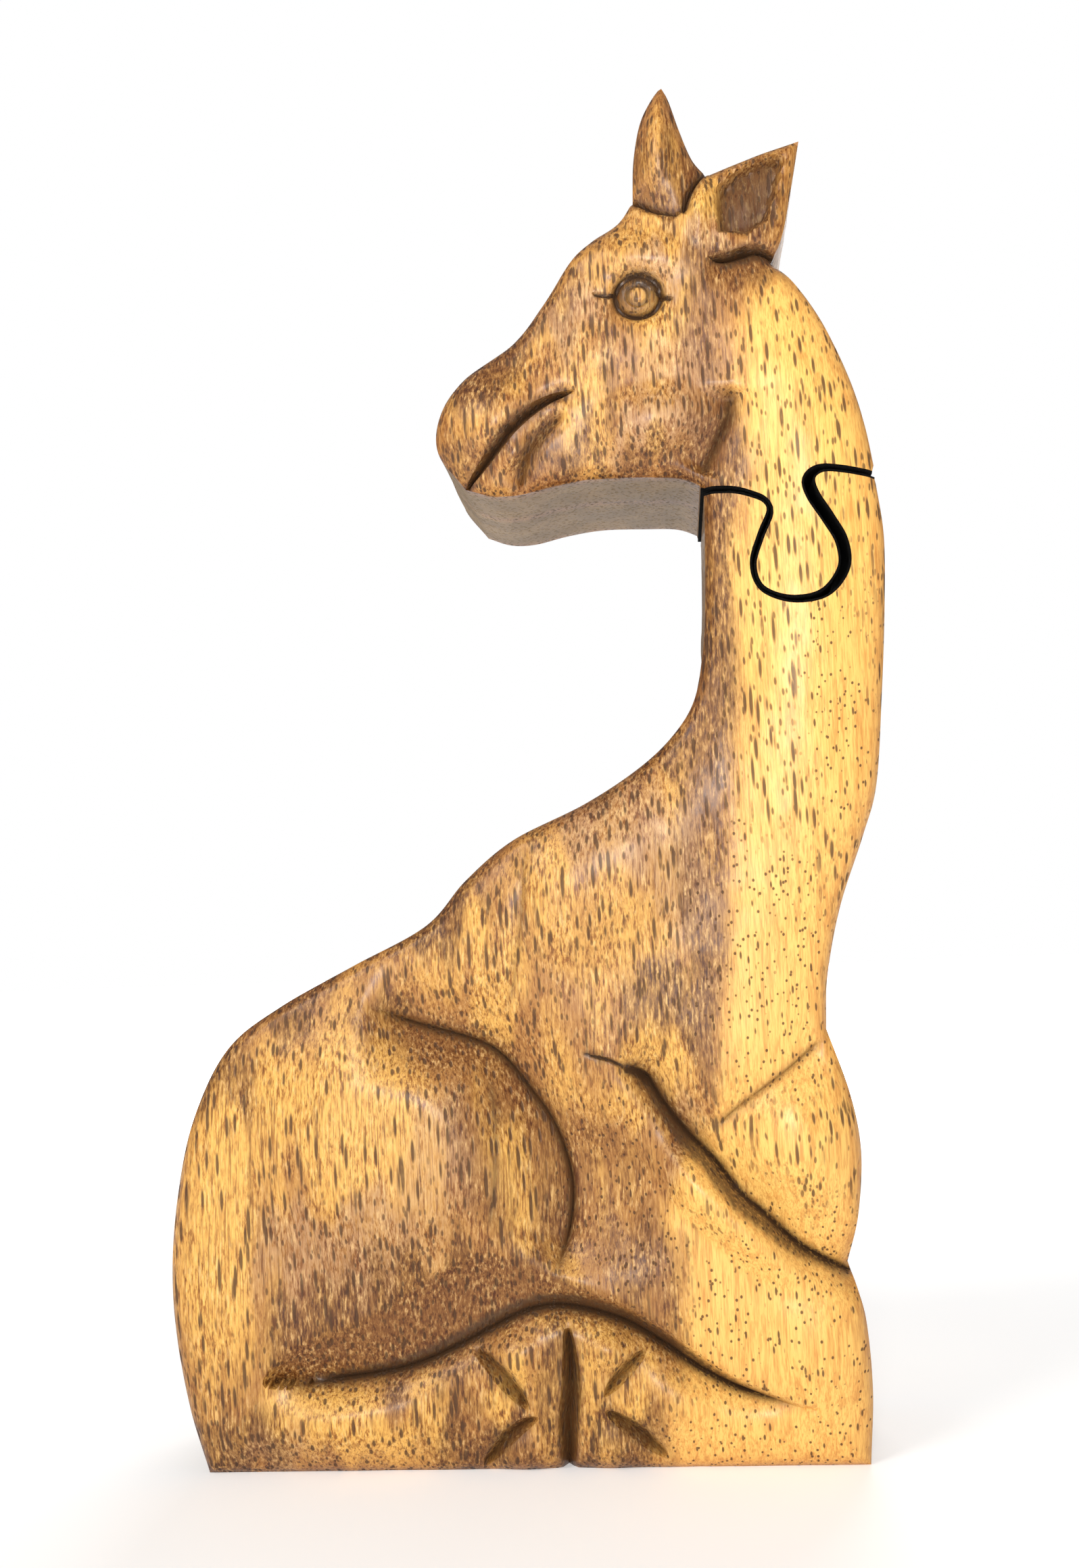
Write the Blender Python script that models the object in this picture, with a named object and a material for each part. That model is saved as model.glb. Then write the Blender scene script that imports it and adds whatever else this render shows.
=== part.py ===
"""Wooden puzzle box carved as a seated giraffe.

A thick board is sawn to the giraffe's outline. A saw cut with a round lobe frees the head, which
slides out forwards and unlocks the box. The body is split into a carved front half and a plain back
half. The two halves line up on dowel pegs and close over a flock-lined compartment.

Frame: origin under the middle of the base, +Z up, the carved face towards -Y, +X to the right of
the carved face. Sizes below are in millimetres; meshes are written in metres.
"""
import math

import bmesh
import bpy
import numpy as np
from mathutils import Vector
from mathutils.geometry import delaunay_2d_cdt

MM = 0.001

# Driving dimensions
THICKNESS = 38.0
FRONT_Y = -THICKNESS / 2
BACK_Y = THICKNESS / 2
SPLIT_Y = 0.0            # the plane that parts the front half from the back half
SPLIT_GAP = 0.3          # between the two halves
KERF = 1.5               # width of the saw cut round the head's lobe
HEAD_REST = (-0.5, -0.3)  # the loose head settles to one side of its socket
FLOCK = 0.25             # thickness of the flock in the saw cut
FLOCK_GAP = 0.05         # between the flock and the wood behind it
FLOCK_INSET = 0.6        # the flock stops this far short of the front and back faces
LINING = 0.6             # thickness of the compartment's lining
LINING_GAP = 0.1         # between the lining and the wood behind it

# Compartment: an oval pocket in both halves
POCKET_CENTRE = (-14.0, 38.0)
POCKET_RADII = (26.0, 17.0)
POCKET_BACK_DEPTH = 13.0
POCKET_FRONT_DEPTH = 7.0
POCKET_SEGMENTS = 40

# Dowel pegs: glued into the back half, a loose fit in the front half
PEG_RADIUS = 2.7
PEG_HOLE_RADIUS = 3.0
PEG_DEPTH_BACK = 10.0
PEG_DEPTH_FRONT = 7.0
PEG_HOLE_SPARE = 0.5
PEG_TIP_BEVEL = 0.6
PEG_SEGMENTS = 24
CUTTER_LEAD = 1.0        # a cutter starts this far outside the wood
PEGS = {"peg_upper": (40.0, 104.0), "peg_lower": (27.0, 22.0)}

# Carving
EDGE_DROP = 4.0          # how far the front rolls back at the outline
EDGE_REACH = 9.0
FEET_SETBACK = 2.0       # the feet lie behind the haunch and the foreleg
FEET_TOP = 22.0
GRID = 3.6               # spacing of the carved face's points
OUTLINE_STEP = 2.6       # spacing of the points along an outline
CREASE_STEP = 2.0        # spacing of the points along a crease

# Middle of the saw cut that frees the head, from the throat to the nape
CUT = [(28.2, 140.3), (30.4, 140.2), (33.1, 139.8), (35.5, 138.9), (37.2, 137.8), (37.8, 136.0),
       (36.3, 132.6), (35.0, 128.4), (36.2, 124.7), (40.3, 122.8), (45.0, 123.5), (48.0, 127.2),
       (47.9, 131.1), (46.2, 134.4), (44.0, 138.2), (43.6, 140.6), (45.4, 141.9), (49.0, 141.8),
       (53.3, 141.3)]

# Outline of the body, in smooth stretches that meet at corners
THROAT_TO_RUMP = [(28.2, 139.5), (28.0, 132.4), (27.6, 123.3), (27.0, 116.5), (25.3, 109.0),
                  (21.8, 103.8), (16.5, 99.2), (8.6, 94.4), (-2.0, 89.6), (-9.2, 84.0),
                  (-15.3, 77.6), (-26.3, 72.1), (-37.1, 66.6), (-44.9, 61.0), (-49.9, 52.3),
                  (-52.5, 43.0), (-54.0, 31.0), (-53.7, 20.7), (-52.0, 9.3), (-49.4, 0.0)]
BASE = [(-49.4, 0.0), (45.2, 0.0)]
KNEE_TO_HOOF = [(45.2, 0.0), (45.9, 10.0), (45.5, 19.5), (44.5, 24.4), (43.5, 27.8)]
CHEST_TO_KNEE = [(43.5, 27.8), (45.2, 35.0), (46.0, 43.5), (44.9, 51.5), (42.0, 60.8)]
NAPE_TO_CHEST = [(42.0, 60.8), (42.6, 68.5), (44.9, 78.2), (48.6, 88.0), (51.0, 95.5),
                 (52.5, 108.5), (53.6, 121.0), (54.1, 132.0), (53.3, 140.6)]

# Outline of the head
NECK_TO_EAR = [(53.3, 142.0), (52.2, 149.0), (50.2, 156.6), (46.6, 165.4), (42.9, 171.4),
               (39.8, 174.9)]
EAR_BACK = [(39.8, 174.9), (41.6, 178.6), (43.0, 184.5), (44.8, 193.2)]
EAR_TOP = [(44.8, 193.2), (38.4, 191.4), (31.3, 189.0)]
FAR_EAR_INNER = [(31.3, 189.0), (28.8, 191.4), (27.0, 196.2), (24.4, 203.2)]
FAR_EAR_OUTER = [(24.4, 203.2), (21.2, 197.4), (19.8, 191.0), (19.5, 185.5)]
BROW_TO_MOUTH = [(19.5, 185.5), (17.2, 182.3), (13.0, 179.6), (9.6, 176.6), (5.4, 170.4),
                 (0.6, 164.6), (-7.0, 159.5), (-10.8, 154.2), (-11.3, 148.4), (-7.4, 142.8)]
JAW = [(-7.4, 142.8), (-3.6, 141.4), (0.6, 141.3), (6.0, 142.4), (12.0, 143.1), (19.0, 142.9),
       (24.5, 142.5), (28.2, 141.0)]

# Creases of the carving. "groove" is the depth and half-width of its V cut. "fall" is how far the
# wood around it falls towards it, and over what reach on the left and right of its direction.
CREASES = [
    # thigh, from the back down round the haunch
    {"points": [(-22.1, 65.6), (-16.6, 62.4), (-5.7, 58.3), (2.2, 48.7), (4.8, 37.3), (3.8, 28.4),
                (-0.8, 23.5)],
     "groove": (0.8, 2.0), "fall": (4.0, 26.0, 16.0)},
    # top of the folded legs, from the rump to the breast
    {"points": [(-40.3, 13.0), (-27.6, 13.8), (-13.9, 17.2), (-1.5, 22.2), (6.5, 21.4),
                (17.1, 17.3), (26.1, 10.7), (38.1, 7.9)],
     "groove": (1.6, 2.4), "fall": (2.4, 11.0, 4.0)},
    # foreleg, from the ribs to the elbow
    {"points": [(8.4, 58.2), (14.0, 55.7), (21.8, 47.4), (28.8, 39.3), (37.7, 31.9), (43.3, 26.8)],
     "groove": (1.0, 2.2), "fall": (1.8, 9.0, 8.0)},
    # breast
    {"points": [(41.4, 58.8), (31.4, 52.5), (25.4, 46.0)],
     "groove": (0.5, 1.6), "fall": (0.8, 6.0, 6.0)},
    # hooves
    {"points": [(-9.8, 16.5), (-2.6, 9.8)], "groove": (1.4, 2.0), "fall": (0.3, 4.0, 4.0)},
    {"points": [(3.5, 20.5), (3.1, 0.6)], "groove": (1.6, 2.0), "fall": (0.3, 4.0, 4.0)},
    {"points": [(13.6, 15.6), (8.8, 11.3)], "groove": (1.3, 1.8), "fall": (0.3, 4.0, 4.0)},
    {"points": [(-1.4, 7.2), (-8.3, 2.1)], "groove": (1.2, 1.8), "fall": (0.3, 4.0, 4.0)},
    {"points": [(9.3, 7.1), (15.8, 1.9)], "groove": (1.2, 1.8), "fall": (0.3, 4.0, 4.0)},
    # mouth
    {"points": [(9.8, 155.3), (3.2, 152.0), (-1.6, 147.8), (-5.9, 143.2)],
     "groove": (1.6, 1.6), "fall": (0.6, 4.0, 4.0)},
    # corner of the jaw
    {"points": [(32.7, 152.5), (31.2, 147.2), (28.4, 142.5)],
     "groove": (1.0, 2.2), "fall": (1.2, 9.0, 7.0)},
    # roots of the ears
    {"points": [(19.6, 185.2), (23.4, 183.4), (27.5, 182.0), (31.3, 189.0)],
     "groove": (1.0, 1.8), "fall": (1.0, 6.0, 4.0)},
    {"points": [(31.2, 175.5), (35.4, 175.9), (39.6, 174.7)],
     "groove": (1.4, 1.8), "fall": (0.8, 5.0, 6.0)},
]

# Colours
SATIN_WOOD_ROUGHNESS = 0.42
COLOURS = {
    "head": ((0.36, 0.20, 0.075), SATIN_WOOD_ROUGHNESS),
    "body_front": ((0.56, 0.33, 0.105), SATIN_WOOD_ROUGHNESS),
    "body_back": ((0.42, 0.26, 0.11), 0.55),
    "peg_upper": ((0.62, 0.45, 0.24), 0.6),
    "peg_lower": ((0.62, 0.45, 0.24), 0.6),
}
FLOCK_LOOK = ((0.008, 0.008, 0.009), 1.0)
CUTTER_LOOK = ((0.5, 0.5, 0.5), 0.5)


def clear_scene():
    for thing in list(bpy.data.objects):
        bpy.data.objects.remove(thing, do_unlink=True)


def material(name, colour, roughness):
    mat = bpy.data.materials.new(name)
    mat.use_nodes = True
    shader = mat.node_tree.nodes["Principled BSDF"]
    shader.inputs["Base Color"].default_value = (*colour, 1.0)
    shader.inputs["Roughness"].default_value = roughness
    shader.inputs["Metallic"].default_value = 0.0
    return mat


# Curves in the plane of the board

def smooth_curve(points, step):
    """Points about a step apart on a smooth curve through the given points."""
    pts = np.array(points, dtype=float)
    if len(pts) < 3:
        count = max(2, int(round(np.linalg.norm(pts[1] - pts[0]) / step)) + 1)
        return np.linspace(pts[0], pts[1], count)
    padded = np.vstack([2 * pts[0] - pts[1], pts, 2 * pts[-1] - pts[-2]])
    curve = []
    for i in range(len(pts) - 1):
        p0, p1, p2, p3 = padded[i:i + 4]
        count = max(1, int(round(np.linalg.norm(p2 - p1) / step)))
        for t in np.arange(count) / count:
            curve.append(0.5 * (2 * p1 + (p2 - p0) * t + (2 * p0 - 5 * p1 + 4 * p2 - p3) * t ** 2
                                + (3 * p1 - p0 - 3 * p2 + p3) * t ** 3))
    curve.append(pts[-1])
    return np.array(curve)


def offset_curve(curve, distance):
    """The curve moved sideways, to the left of its direction when distance is positive."""
    along = np.gradient(curve, axis=0)
    along /= np.linalg.norm(along, axis=1, keepdims=True)
    left = np.column_stack([-along[:, 1], along[:, 0]])
    return curve + left * distance


def join_stretches(stretches):
    """One closed outline from stretches that follow each other, without the doubled corners."""
    points = []
    for stretch in stretches:
        for point in stretch:
            if not points or np.linalg.norm(point - points[-1]) > 1e-3:
                points.append(point)
    if np.linalg.norm(points[0] - points[-1]) < 1e-3:
        points.pop()
    return np.array(points)


def cut_curve(side):
    """A face of the saw cut: side -1 is the socket's in the body, +1 is the lobe's on the head."""
    curve = offset_curve(smooth_curve(CUT, OUTLINE_STEP * 0.5), side * KERF / 2)
    if side > 0:
        curve = curve + np.array(HEAD_REST)
    return curve


def body_outline():
    names = (THROAT_TO_RUMP, BASE, KNEE_TO_HOOF, CHEST_TO_KNEE, NAPE_TO_CHEST)
    stretches = [smooth_curve(points, OUTLINE_STEP) for points in names]
    socket = cut_curve(-1)[::-1]
    stretches[0][0] = socket[-1]
    stretches[-1][-1] = socket[0]
    return join_stretches(stretches + [socket])


def head_outline():
    names = (NECK_TO_EAR, EAR_BACK, EAR_TOP, FAR_EAR_INNER, FAR_EAR_OUTER, BROW_TO_MOUTH, JAW)
    stretches = [smooth_curve(points, OUTLINE_STEP) for points in names]
    lobe = cut_curve(1)
    stretches[0][0] = lobe[-1]
    stretches[-1][-1] = lobe[0]
    return join_stretches([lobe] + stretches)


def silhouette():
    """The outline of the whole giraffe, without the saw cut."""
    names = (THROAT_TO_RUMP, BASE, KNEE_TO_HOOF, CHEST_TO_KNEE, NAPE_TO_CHEST, NECK_TO_EAR,
             EAR_BACK, EAR_TOP, FAR_EAR_INNER, FAR_EAR_OUTER, BROW_TO_MOUTH, JAW)
    return join_stretches([smooth_curve(points, OUTLINE_STEP) for points in names])


# The carved face

def nearest_on_line(points, line):
    """Distance from each point to a line, and the side it is on: +1 is left of the direction."""
    best = np.full(len(points), np.inf)
    side = np.ones(len(points))
    for a, b in zip(line[:-1], line[1:]):
        ab = b - a
        t = np.clip(((points - a) @ ab) / (ab @ ab), 0.0, 1.0)
        away = points - (a + t[:, None] * ab)
        distance = np.linalg.norm(away, axis=1)
        closer = distance < best
        turn = ab[0] * away[:, 1] - ab[1] * away[:, 0]
        side[closer] = np.where(turn[closer] >= 0, 1.0, -1.0)
        best = np.minimum(best, distance)
    return best, side


def shoulder(distance, reach):
    """1 at a line, rising in a round shoulder to 0 at the reach."""
    return (1.0 - np.clip(distance / reach, 0.0, 1.0)) ** 2


def crease_depth(points, crease):
    line = smooth_curve(crease["points"], OUTLINE_STEP)
    distance, side = nearest_on_line(points, line)
    groove_depth, groove_width = crease["groove"]
    fall_depth, left_reach, right_reach = crease["fall"]
    reach = np.where(side > 0, left_reach, right_reach)
    groove = groove_depth * np.clip(1.0 - distance / groove_width, 0.0, 1.0)
    return groove + fall_depth * shoulder(distance, reach)


def carved_depth(points, edge):
    """How far behind the foremost plane the carved face lies at each point."""
    distance, _ = nearest_on_line(points, edge)
    depth = EDGE_DROP * shoulder(distance, EDGE_REACH)
    depth += FEET_SETBACK * np.clip(1.0 - points[:, 1] / FEET_TOP, 0.0, 1.0)
    creases = np.array([crease_depth(points, crease) for crease in CREASES])
    return depth + creases.sum(axis=0) * 0.5 + creases.max(axis=0) * 0.5


def inside_outline(points, outline):
    """True for each point inside the outline, by counting the edges to its right."""
    inside = np.zeros(len(points), dtype=bool)
    for a, b in zip(outline, np.roll(outline, -1, axis=0)):
        crosses = (a[1] > points[:, 1]) != (b[1] > points[:, 1])
        rise = b[1] - a[1] if b[1] != a[1] else 1.0
        x_at = a[0] + (points[:, 1] - a[1]) / rise * (b[0] - a[0])
        inside ^= crosses & (points[:, 0] < x_at)
    return inside


def spread_points(outline):
    """Crease points and a triangular grid that fill the outline, none too close together."""
    low = outline.min(axis=0)
    high = outline.max(axis=0)
    row_step = GRID * math.sqrt(3) / 2
    candidates = []
    for crease in CREASES:
        bottom = smooth_curve(crease["points"], CREASE_STEP)
        half_width = crease["groove"][1]
        for sideways in (0.0, half_width, -half_width):
            candidates.extend(offset_curve(bottom, sideways))
    for row in range(int((high[1] - low[1]) / row_step) + 1):
        shift = GRID / 2 if row % 2 else 0.0
        for x in np.arange(low[0] + shift, high[0], GRID):
            candidates.append(np.array([x, low[1] + row * row_step]))
    candidates = np.array(candidates)
    candidates = candidates[inside_outline(candidates, outline)]
    closed = np.vstack([outline, outline[:1]])
    distance, _ = nearest_on_line(candidates, closed)
    kept = []
    for point in candidates[distance > CREASE_STEP * 0.6]:
        if all(np.linalg.norm(point - other) > CREASE_STEP * 0.75 for other in kept):
            kept.append(point)
    return np.array(kept)


# Solids

def finish_mesh(name, bm, colour, roughness):
    bmesh.ops.recalc_face_normals(bm, faces=bm.faces)
    mesh = bpy.data.meshes.new(name)
    bm.to_mesh(mesh)
    bm.free()
    mesh.shade_smooth()
    mesh.set_sharp_from_angle(angle=math.radians(35))
    thing = bpy.data.objects.new(name, mesh)
    bpy.context.collection.objects.link(thing)
    mesh.materials.append(material(name, colour, roughness))
    return thing


def close_backwards(bm, back_y):
    """Extrude the open rim of a face sheet to a flat back and cap it."""
    rim = [edge for edge in bm.edges if edge.is_boundary]
    extruded = bmesh.ops.extrude_edge_only(bm, edges=rim)["geom"]
    new_edges = [item for item in extruded if isinstance(item, bmesh.types.BMEdge)]
    for item in extruded:
        if isinstance(item, bmesh.types.BMVert):
            item.co.y = back_y * MM
    rim_back = [edge for edge in new_edges if edge.is_boundary]
    bmesh.ops.contextual_create(bm, geom=rim_back)


def carved_block(name, outline, back_y, edge):
    """A board with a carved front: a relief sheet, walls along the outline and a flat back."""
    inner = spread_points(outline)
    flat = [Vector(point) for point in np.vstack([outline, inner])]
    count = len(outline)
    loop = [(i, (i + 1) % count) for i in range(count)]
    verts, _, faces, *_ = delaunay_2d_cdt(flat, loop, [], 1, 1e-5)
    plane = np.array([(vert.x, vert.y) for vert in verts])
    height = FRONT_Y + carved_depth(plane, edge)
    bm = bmesh.new()
    sheet = [bm.verts.new((x * MM, y * MM, z * MM)) for (x, z), y in zip(plane, height)]
    for face in faces:
        bm.faces.new([sheet[i] for i in face])
    close_backwards(bm, back_y)
    return finish_mesh(name, bm, *COLOURS[name])


def prism(name, outline, y_front, y_back, colour, roughness):
    """An outline extruded through the board's thickness."""
    bm = bmesh.new()
    rim = [bm.verts.new((x * MM, y_front * MM, z * MM)) for x, z in outline]
    bm.faces.new(rim)
    close_backwards(bm, y_back)
    return finish_mesh(name, bm, colour, roughness)


def oval(shrink):
    """The compartment's outline, set in by shrink."""
    turns = np.arange(POCKET_SEGMENTS) * 2 * math.pi / POCKET_SEGMENTS
    return np.column_stack([POCKET_CENTRE[0] + (POCKET_RADII[0] - shrink) * np.cos(turns),
                            POCKET_CENTRE[1] + (POCKET_RADII[1] - shrink) * np.sin(turns)])


def circle(centre, radius):
    turns = np.arange(PEG_SEGMENTS) * 2 * math.pi / PEG_SEGMENTS
    return np.column_stack([centre[0] + radius * np.cos(turns),
                            centre[1] + radius * np.sin(turns)])


def cut(target, cutter):
    """Take a hidden cutter out of a solid."""
    cutter.hide_render = True
    cutter.display_type = "WIRE"
    modifier = target.modifiers.new(cutter.name, "BOOLEAN")
    modifier.operation = "DIFFERENCE"
    modifier.solver = "EXACT"
    modifier.object = cutter


def hollow_out(target, side):
    """Cut the compartment and the peg holes into a half. side is +1 for the back half."""
    depth = POCKET_BACK_DEPTH if side > 0 else POCKET_FRONT_DEPTH
    hole_depth = (PEG_DEPTH_BACK if side > 0 else PEG_DEPTH_FRONT) + PEG_HOLE_SPARE
    start = SPLIT_Y - side * CUTTER_LEAD
    cut(target, prism(target.name + "_pocket_cutter", oval(0.0), start, SPLIT_Y + side * depth,
                      *CUTTER_LOOK))
    for name, centre in PEGS.items():
        cut(target, prism(target.name + "_" + name + "_cutter", circle(centre, PEG_HOLE_RADIUS),
                          start, SPLIT_Y + side * hole_depth, *CUTTER_LOOK))


def lining(name, side):
    """A thin flock cup against the walls and the floor of one half's pocket."""
    depth = POCKET_BACK_DEPTH if side > 0 else POCKET_FRONT_DEPTH
    rim_y = SPLIT_Y + side * (SPLIT_GAP / 2 + LINING_GAP)
    outer_floor = SPLIT_Y + side * (depth - LINING_GAP)
    inner_floor = outer_floor - side * LINING
    rings = [(oval(LINING_GAP), outer_floor), (oval(LINING_GAP), rim_y),
             (oval(LINING_GAP + LINING), rim_y), (oval(LINING_GAP + LINING), inner_floor)]
    bm = bmesh.new()
    loops = []
    for outline, y in rings:
        loops.append([bm.verts.new((x * MM, y * MM, z * MM)) for x, z in outline])
    for first, second in zip(loops[:-1], loops[1:]):
        for i in range(POCKET_SEGMENTS):
            j = (i + 1) % POCKET_SEGMENTS
            bm.faces.new([first[i], first[j], second[j], second[i]])
    bm.faces.new(loops[0])
    bm.faces.new(loops[-1])
    return finish_mesh(name, bm, *FLOCK_LOOK)


def peg(name, centre):
    thing = prism(name, circle(centre, PEG_RADIUS), SPLIT_Y - PEG_DEPTH_FRONT,
                  SPLIT_Y + PEG_DEPTH_BACK, *COLOURS[name])
    bevel = thing.modifiers.new("tips", "BEVEL")
    bevel.width = PEG_TIP_BEVEL * MM
    bevel.segments = 2
    bevel.limit_method = "ANGLE"
    bevel.angle_limit = math.radians(60)
    return thing


def flock_strip(name, side, y_front, y_back):
    """The flock glued to one face of the saw cut."""
    wood = cut_curve(side)
    near = offset_curve(wood, -side * FLOCK_GAP)
    far = offset_curve(wood, -side * (FLOCK_GAP + FLOCK))
    outline = np.vstack([near, far[::-1]])
    return prism(name, outline, y_front, y_back, *FLOCK_LOOK)


def build():
    clear_scene()
    edge = silhouette()
    edge = np.vstack([edge, edge[:1]])
    body = body_outline()
    half_gap = SPLIT_GAP / 2
    carved_block("head", head_outline(), BACK_Y, edge)
    front = carved_block("body_front", body, SPLIT_Y - half_gap, edge)
    back = prism("body_back", body, SPLIT_Y + half_gap, BACK_Y, *COLOURS["body_back"])
    hollow_out(front, -1)
    hollow_out(back, 1)
    lining("lining_front", -1)
    lining("lining_back", 1)
    for name, centre in PEGS.items():
        peg(name, centre)
    flock_front = FRONT_Y + EDGE_DROP + FLOCK_INSET
    flock_back = BACK_Y - FLOCK_INSET
    flock_strip("lobe_flock", 1, flock_front, flock_back)
    flock_strip("socket_flock_front", -1, flock_front, SPLIT_Y - half_gap - FLOCK_GAP)
    flock_strip("socket_flock_back", -1, SPLIT_Y + half_gap + FLOCK_GAP, flock_back)


build()
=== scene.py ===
"""Looks of the carved giraffe puzzle box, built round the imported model.

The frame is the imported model's: +Z up, the carved face towards -Y, the base on z = 0. Sizes here are
in millimetres in the plane of the board (x, z) unless a name ends in _M; meshes are in metres.
"""

import math

import bmesh
import bpy
import numpy as np
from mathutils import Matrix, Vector, kdtree, noise
from mathutils.geometry import delaunay_2d_cdt


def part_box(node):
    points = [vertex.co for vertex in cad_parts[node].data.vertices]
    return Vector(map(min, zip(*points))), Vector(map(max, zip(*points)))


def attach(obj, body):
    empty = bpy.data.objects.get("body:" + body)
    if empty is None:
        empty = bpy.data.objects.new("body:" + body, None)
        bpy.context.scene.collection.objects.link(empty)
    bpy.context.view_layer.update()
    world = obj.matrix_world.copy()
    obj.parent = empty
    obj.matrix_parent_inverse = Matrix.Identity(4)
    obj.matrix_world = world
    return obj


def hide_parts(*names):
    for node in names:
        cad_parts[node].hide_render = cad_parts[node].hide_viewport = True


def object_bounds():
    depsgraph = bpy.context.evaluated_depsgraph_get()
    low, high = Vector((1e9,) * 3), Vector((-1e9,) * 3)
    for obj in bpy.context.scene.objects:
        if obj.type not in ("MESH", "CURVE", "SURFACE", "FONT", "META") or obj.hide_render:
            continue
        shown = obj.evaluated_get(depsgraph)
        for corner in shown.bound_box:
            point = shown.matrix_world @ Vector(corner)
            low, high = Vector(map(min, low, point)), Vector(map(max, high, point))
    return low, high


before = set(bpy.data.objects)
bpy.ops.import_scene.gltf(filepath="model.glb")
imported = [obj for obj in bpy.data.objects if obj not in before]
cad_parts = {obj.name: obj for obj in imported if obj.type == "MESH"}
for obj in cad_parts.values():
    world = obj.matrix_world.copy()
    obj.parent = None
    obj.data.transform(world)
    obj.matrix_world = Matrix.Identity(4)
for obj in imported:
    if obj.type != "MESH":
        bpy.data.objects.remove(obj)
cad_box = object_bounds()

MM = 0.001
FRONT_Y = cad_box[0].y / MM
BACK_Y = cad_box[1].y / MM
FRONT_HALF_BACK_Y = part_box("body_front")[1].y / MM
BACK_HALF_FRONT_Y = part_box("body_back")[0].y / MM

DETAIL = 0.72   # spacing of the carved face's points
KERF = 1.5
HEAD_REST = (-0.5, -0.3)               # the lobe rests this far off the middle of the saw cut

# Middle of the saw cut that frees the head, from the throat to the nape
CUT = [(28.2, 140.3), (30.4, 140.2), (33.1, 139.8), (35.5, 138.9), (37.2, 137.8), (37.8, 136.0),
       (36.3, 132.6), (35.0, 128.4), (36.2, 124.7), (40.3, 122.8), (45.0, 123.5), (48.0, 127.2),
       (47.9, 131.1), (46.2, 134.4), (44.0, 138.2), (43.6, 140.6), (45.4, 141.9), (49.0, 141.8),
       (53.3, 141.3)]

# Outline of the body, in smooth stretches that meet at corners
THROAT_TO_RUMP = [(28.2, 139.5), (28.0, 132.4), (27.6, 123.3), (27.0, 116.5), (25.3, 109.0),
                  (21.8, 103.8), (16.5, 99.2), (8.6, 94.4), (-2.0, 89.6), (-9.2, 84.0),
                  (-15.3, 77.6), (-26.3, 72.1), (-37.1, 66.6), (-44.9, 61.0), (-49.9, 52.3),
                  (-52.5, 43.0), (-54.0, 31.0), (-53.7, 20.7), (-52.0, 9.3), (-49.4, 0.0)]
BASE = [(-49.4, 0.0), (45.2, 0.0)]
KNEE_TO_HOOF = [(45.2, 0.0), (45.9, 10.0), (45.5, 19.5), (44.5, 24.4), (43.5, 27.8)]
CHEST_TO_KNEE = [(43.5, 27.8), (45.2, 35.0), (46.0, 43.5), (44.9, 51.5), (42.0, 60.8)]
NAPE_TO_CHEST = [(42.0, 60.8), (42.6, 68.5), (44.9, 78.2), (48.6, 88.0), (51.0, 95.5),
                 (52.5, 108.5), (53.6, 121.0), (54.1, 132.0), (53.3, 140.6)]

# Outline of the head
NECK_TO_EAR = [(53.3, 142.0), (52.2, 149.0), (50.2, 156.6), (46.6, 165.4), (42.9, 171.4),
               (39.8, 174.9)]
EAR_BACK = [(39.8, 174.9), (41.6, 178.6), (43.0, 184.5), (44.8, 193.2)]
EAR_TOP = [(44.8, 193.2), (38.4, 191.4), (31.3, 189.0)]
FAR_EAR_INNER = [(31.3, 189.0), (28.8, 191.4), (27.0, 196.2), (25.6, 201.0), (24.6, 203.1)]
FAR_EAR_OUTER = [(24.6, 203.1), (23.4, 202.0), (21.2, 198.0), (19.9, 192.0), (19.5, 185.5)]
BROW_TO_MOUTH = [(19.5, 185.5), (17.2, 182.3), (13.0, 179.6), (9.6, 176.6), (5.4, 170.4),
                 (0.6, 164.6), (-7.0, 159.5), (-10.8, 154.2), (-11.3, 148.4), (-7.4, 142.8)]
JAW = [(-7.4, 142.8), (-3.6, 141.4), (0.6, 141.3), (6.0, 142.4), (12.0, 143.1), (19.0, 142.9),
       (24.5, 142.5), (28.2, 141.0)]

BODY_STRETCHES = (THROAT_TO_RUMP, BASE, KNEE_TO_HOOF, CHEST_TO_KNEE, NAPE_TO_CHEST)
HEAD_STRETCHES = (NECK_TO_EAR, EAR_BACK, EAR_TOP, FAR_EAR_INNER, FAR_EAR_OUTER, BROW_TO_MOUTH, JAW)

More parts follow.
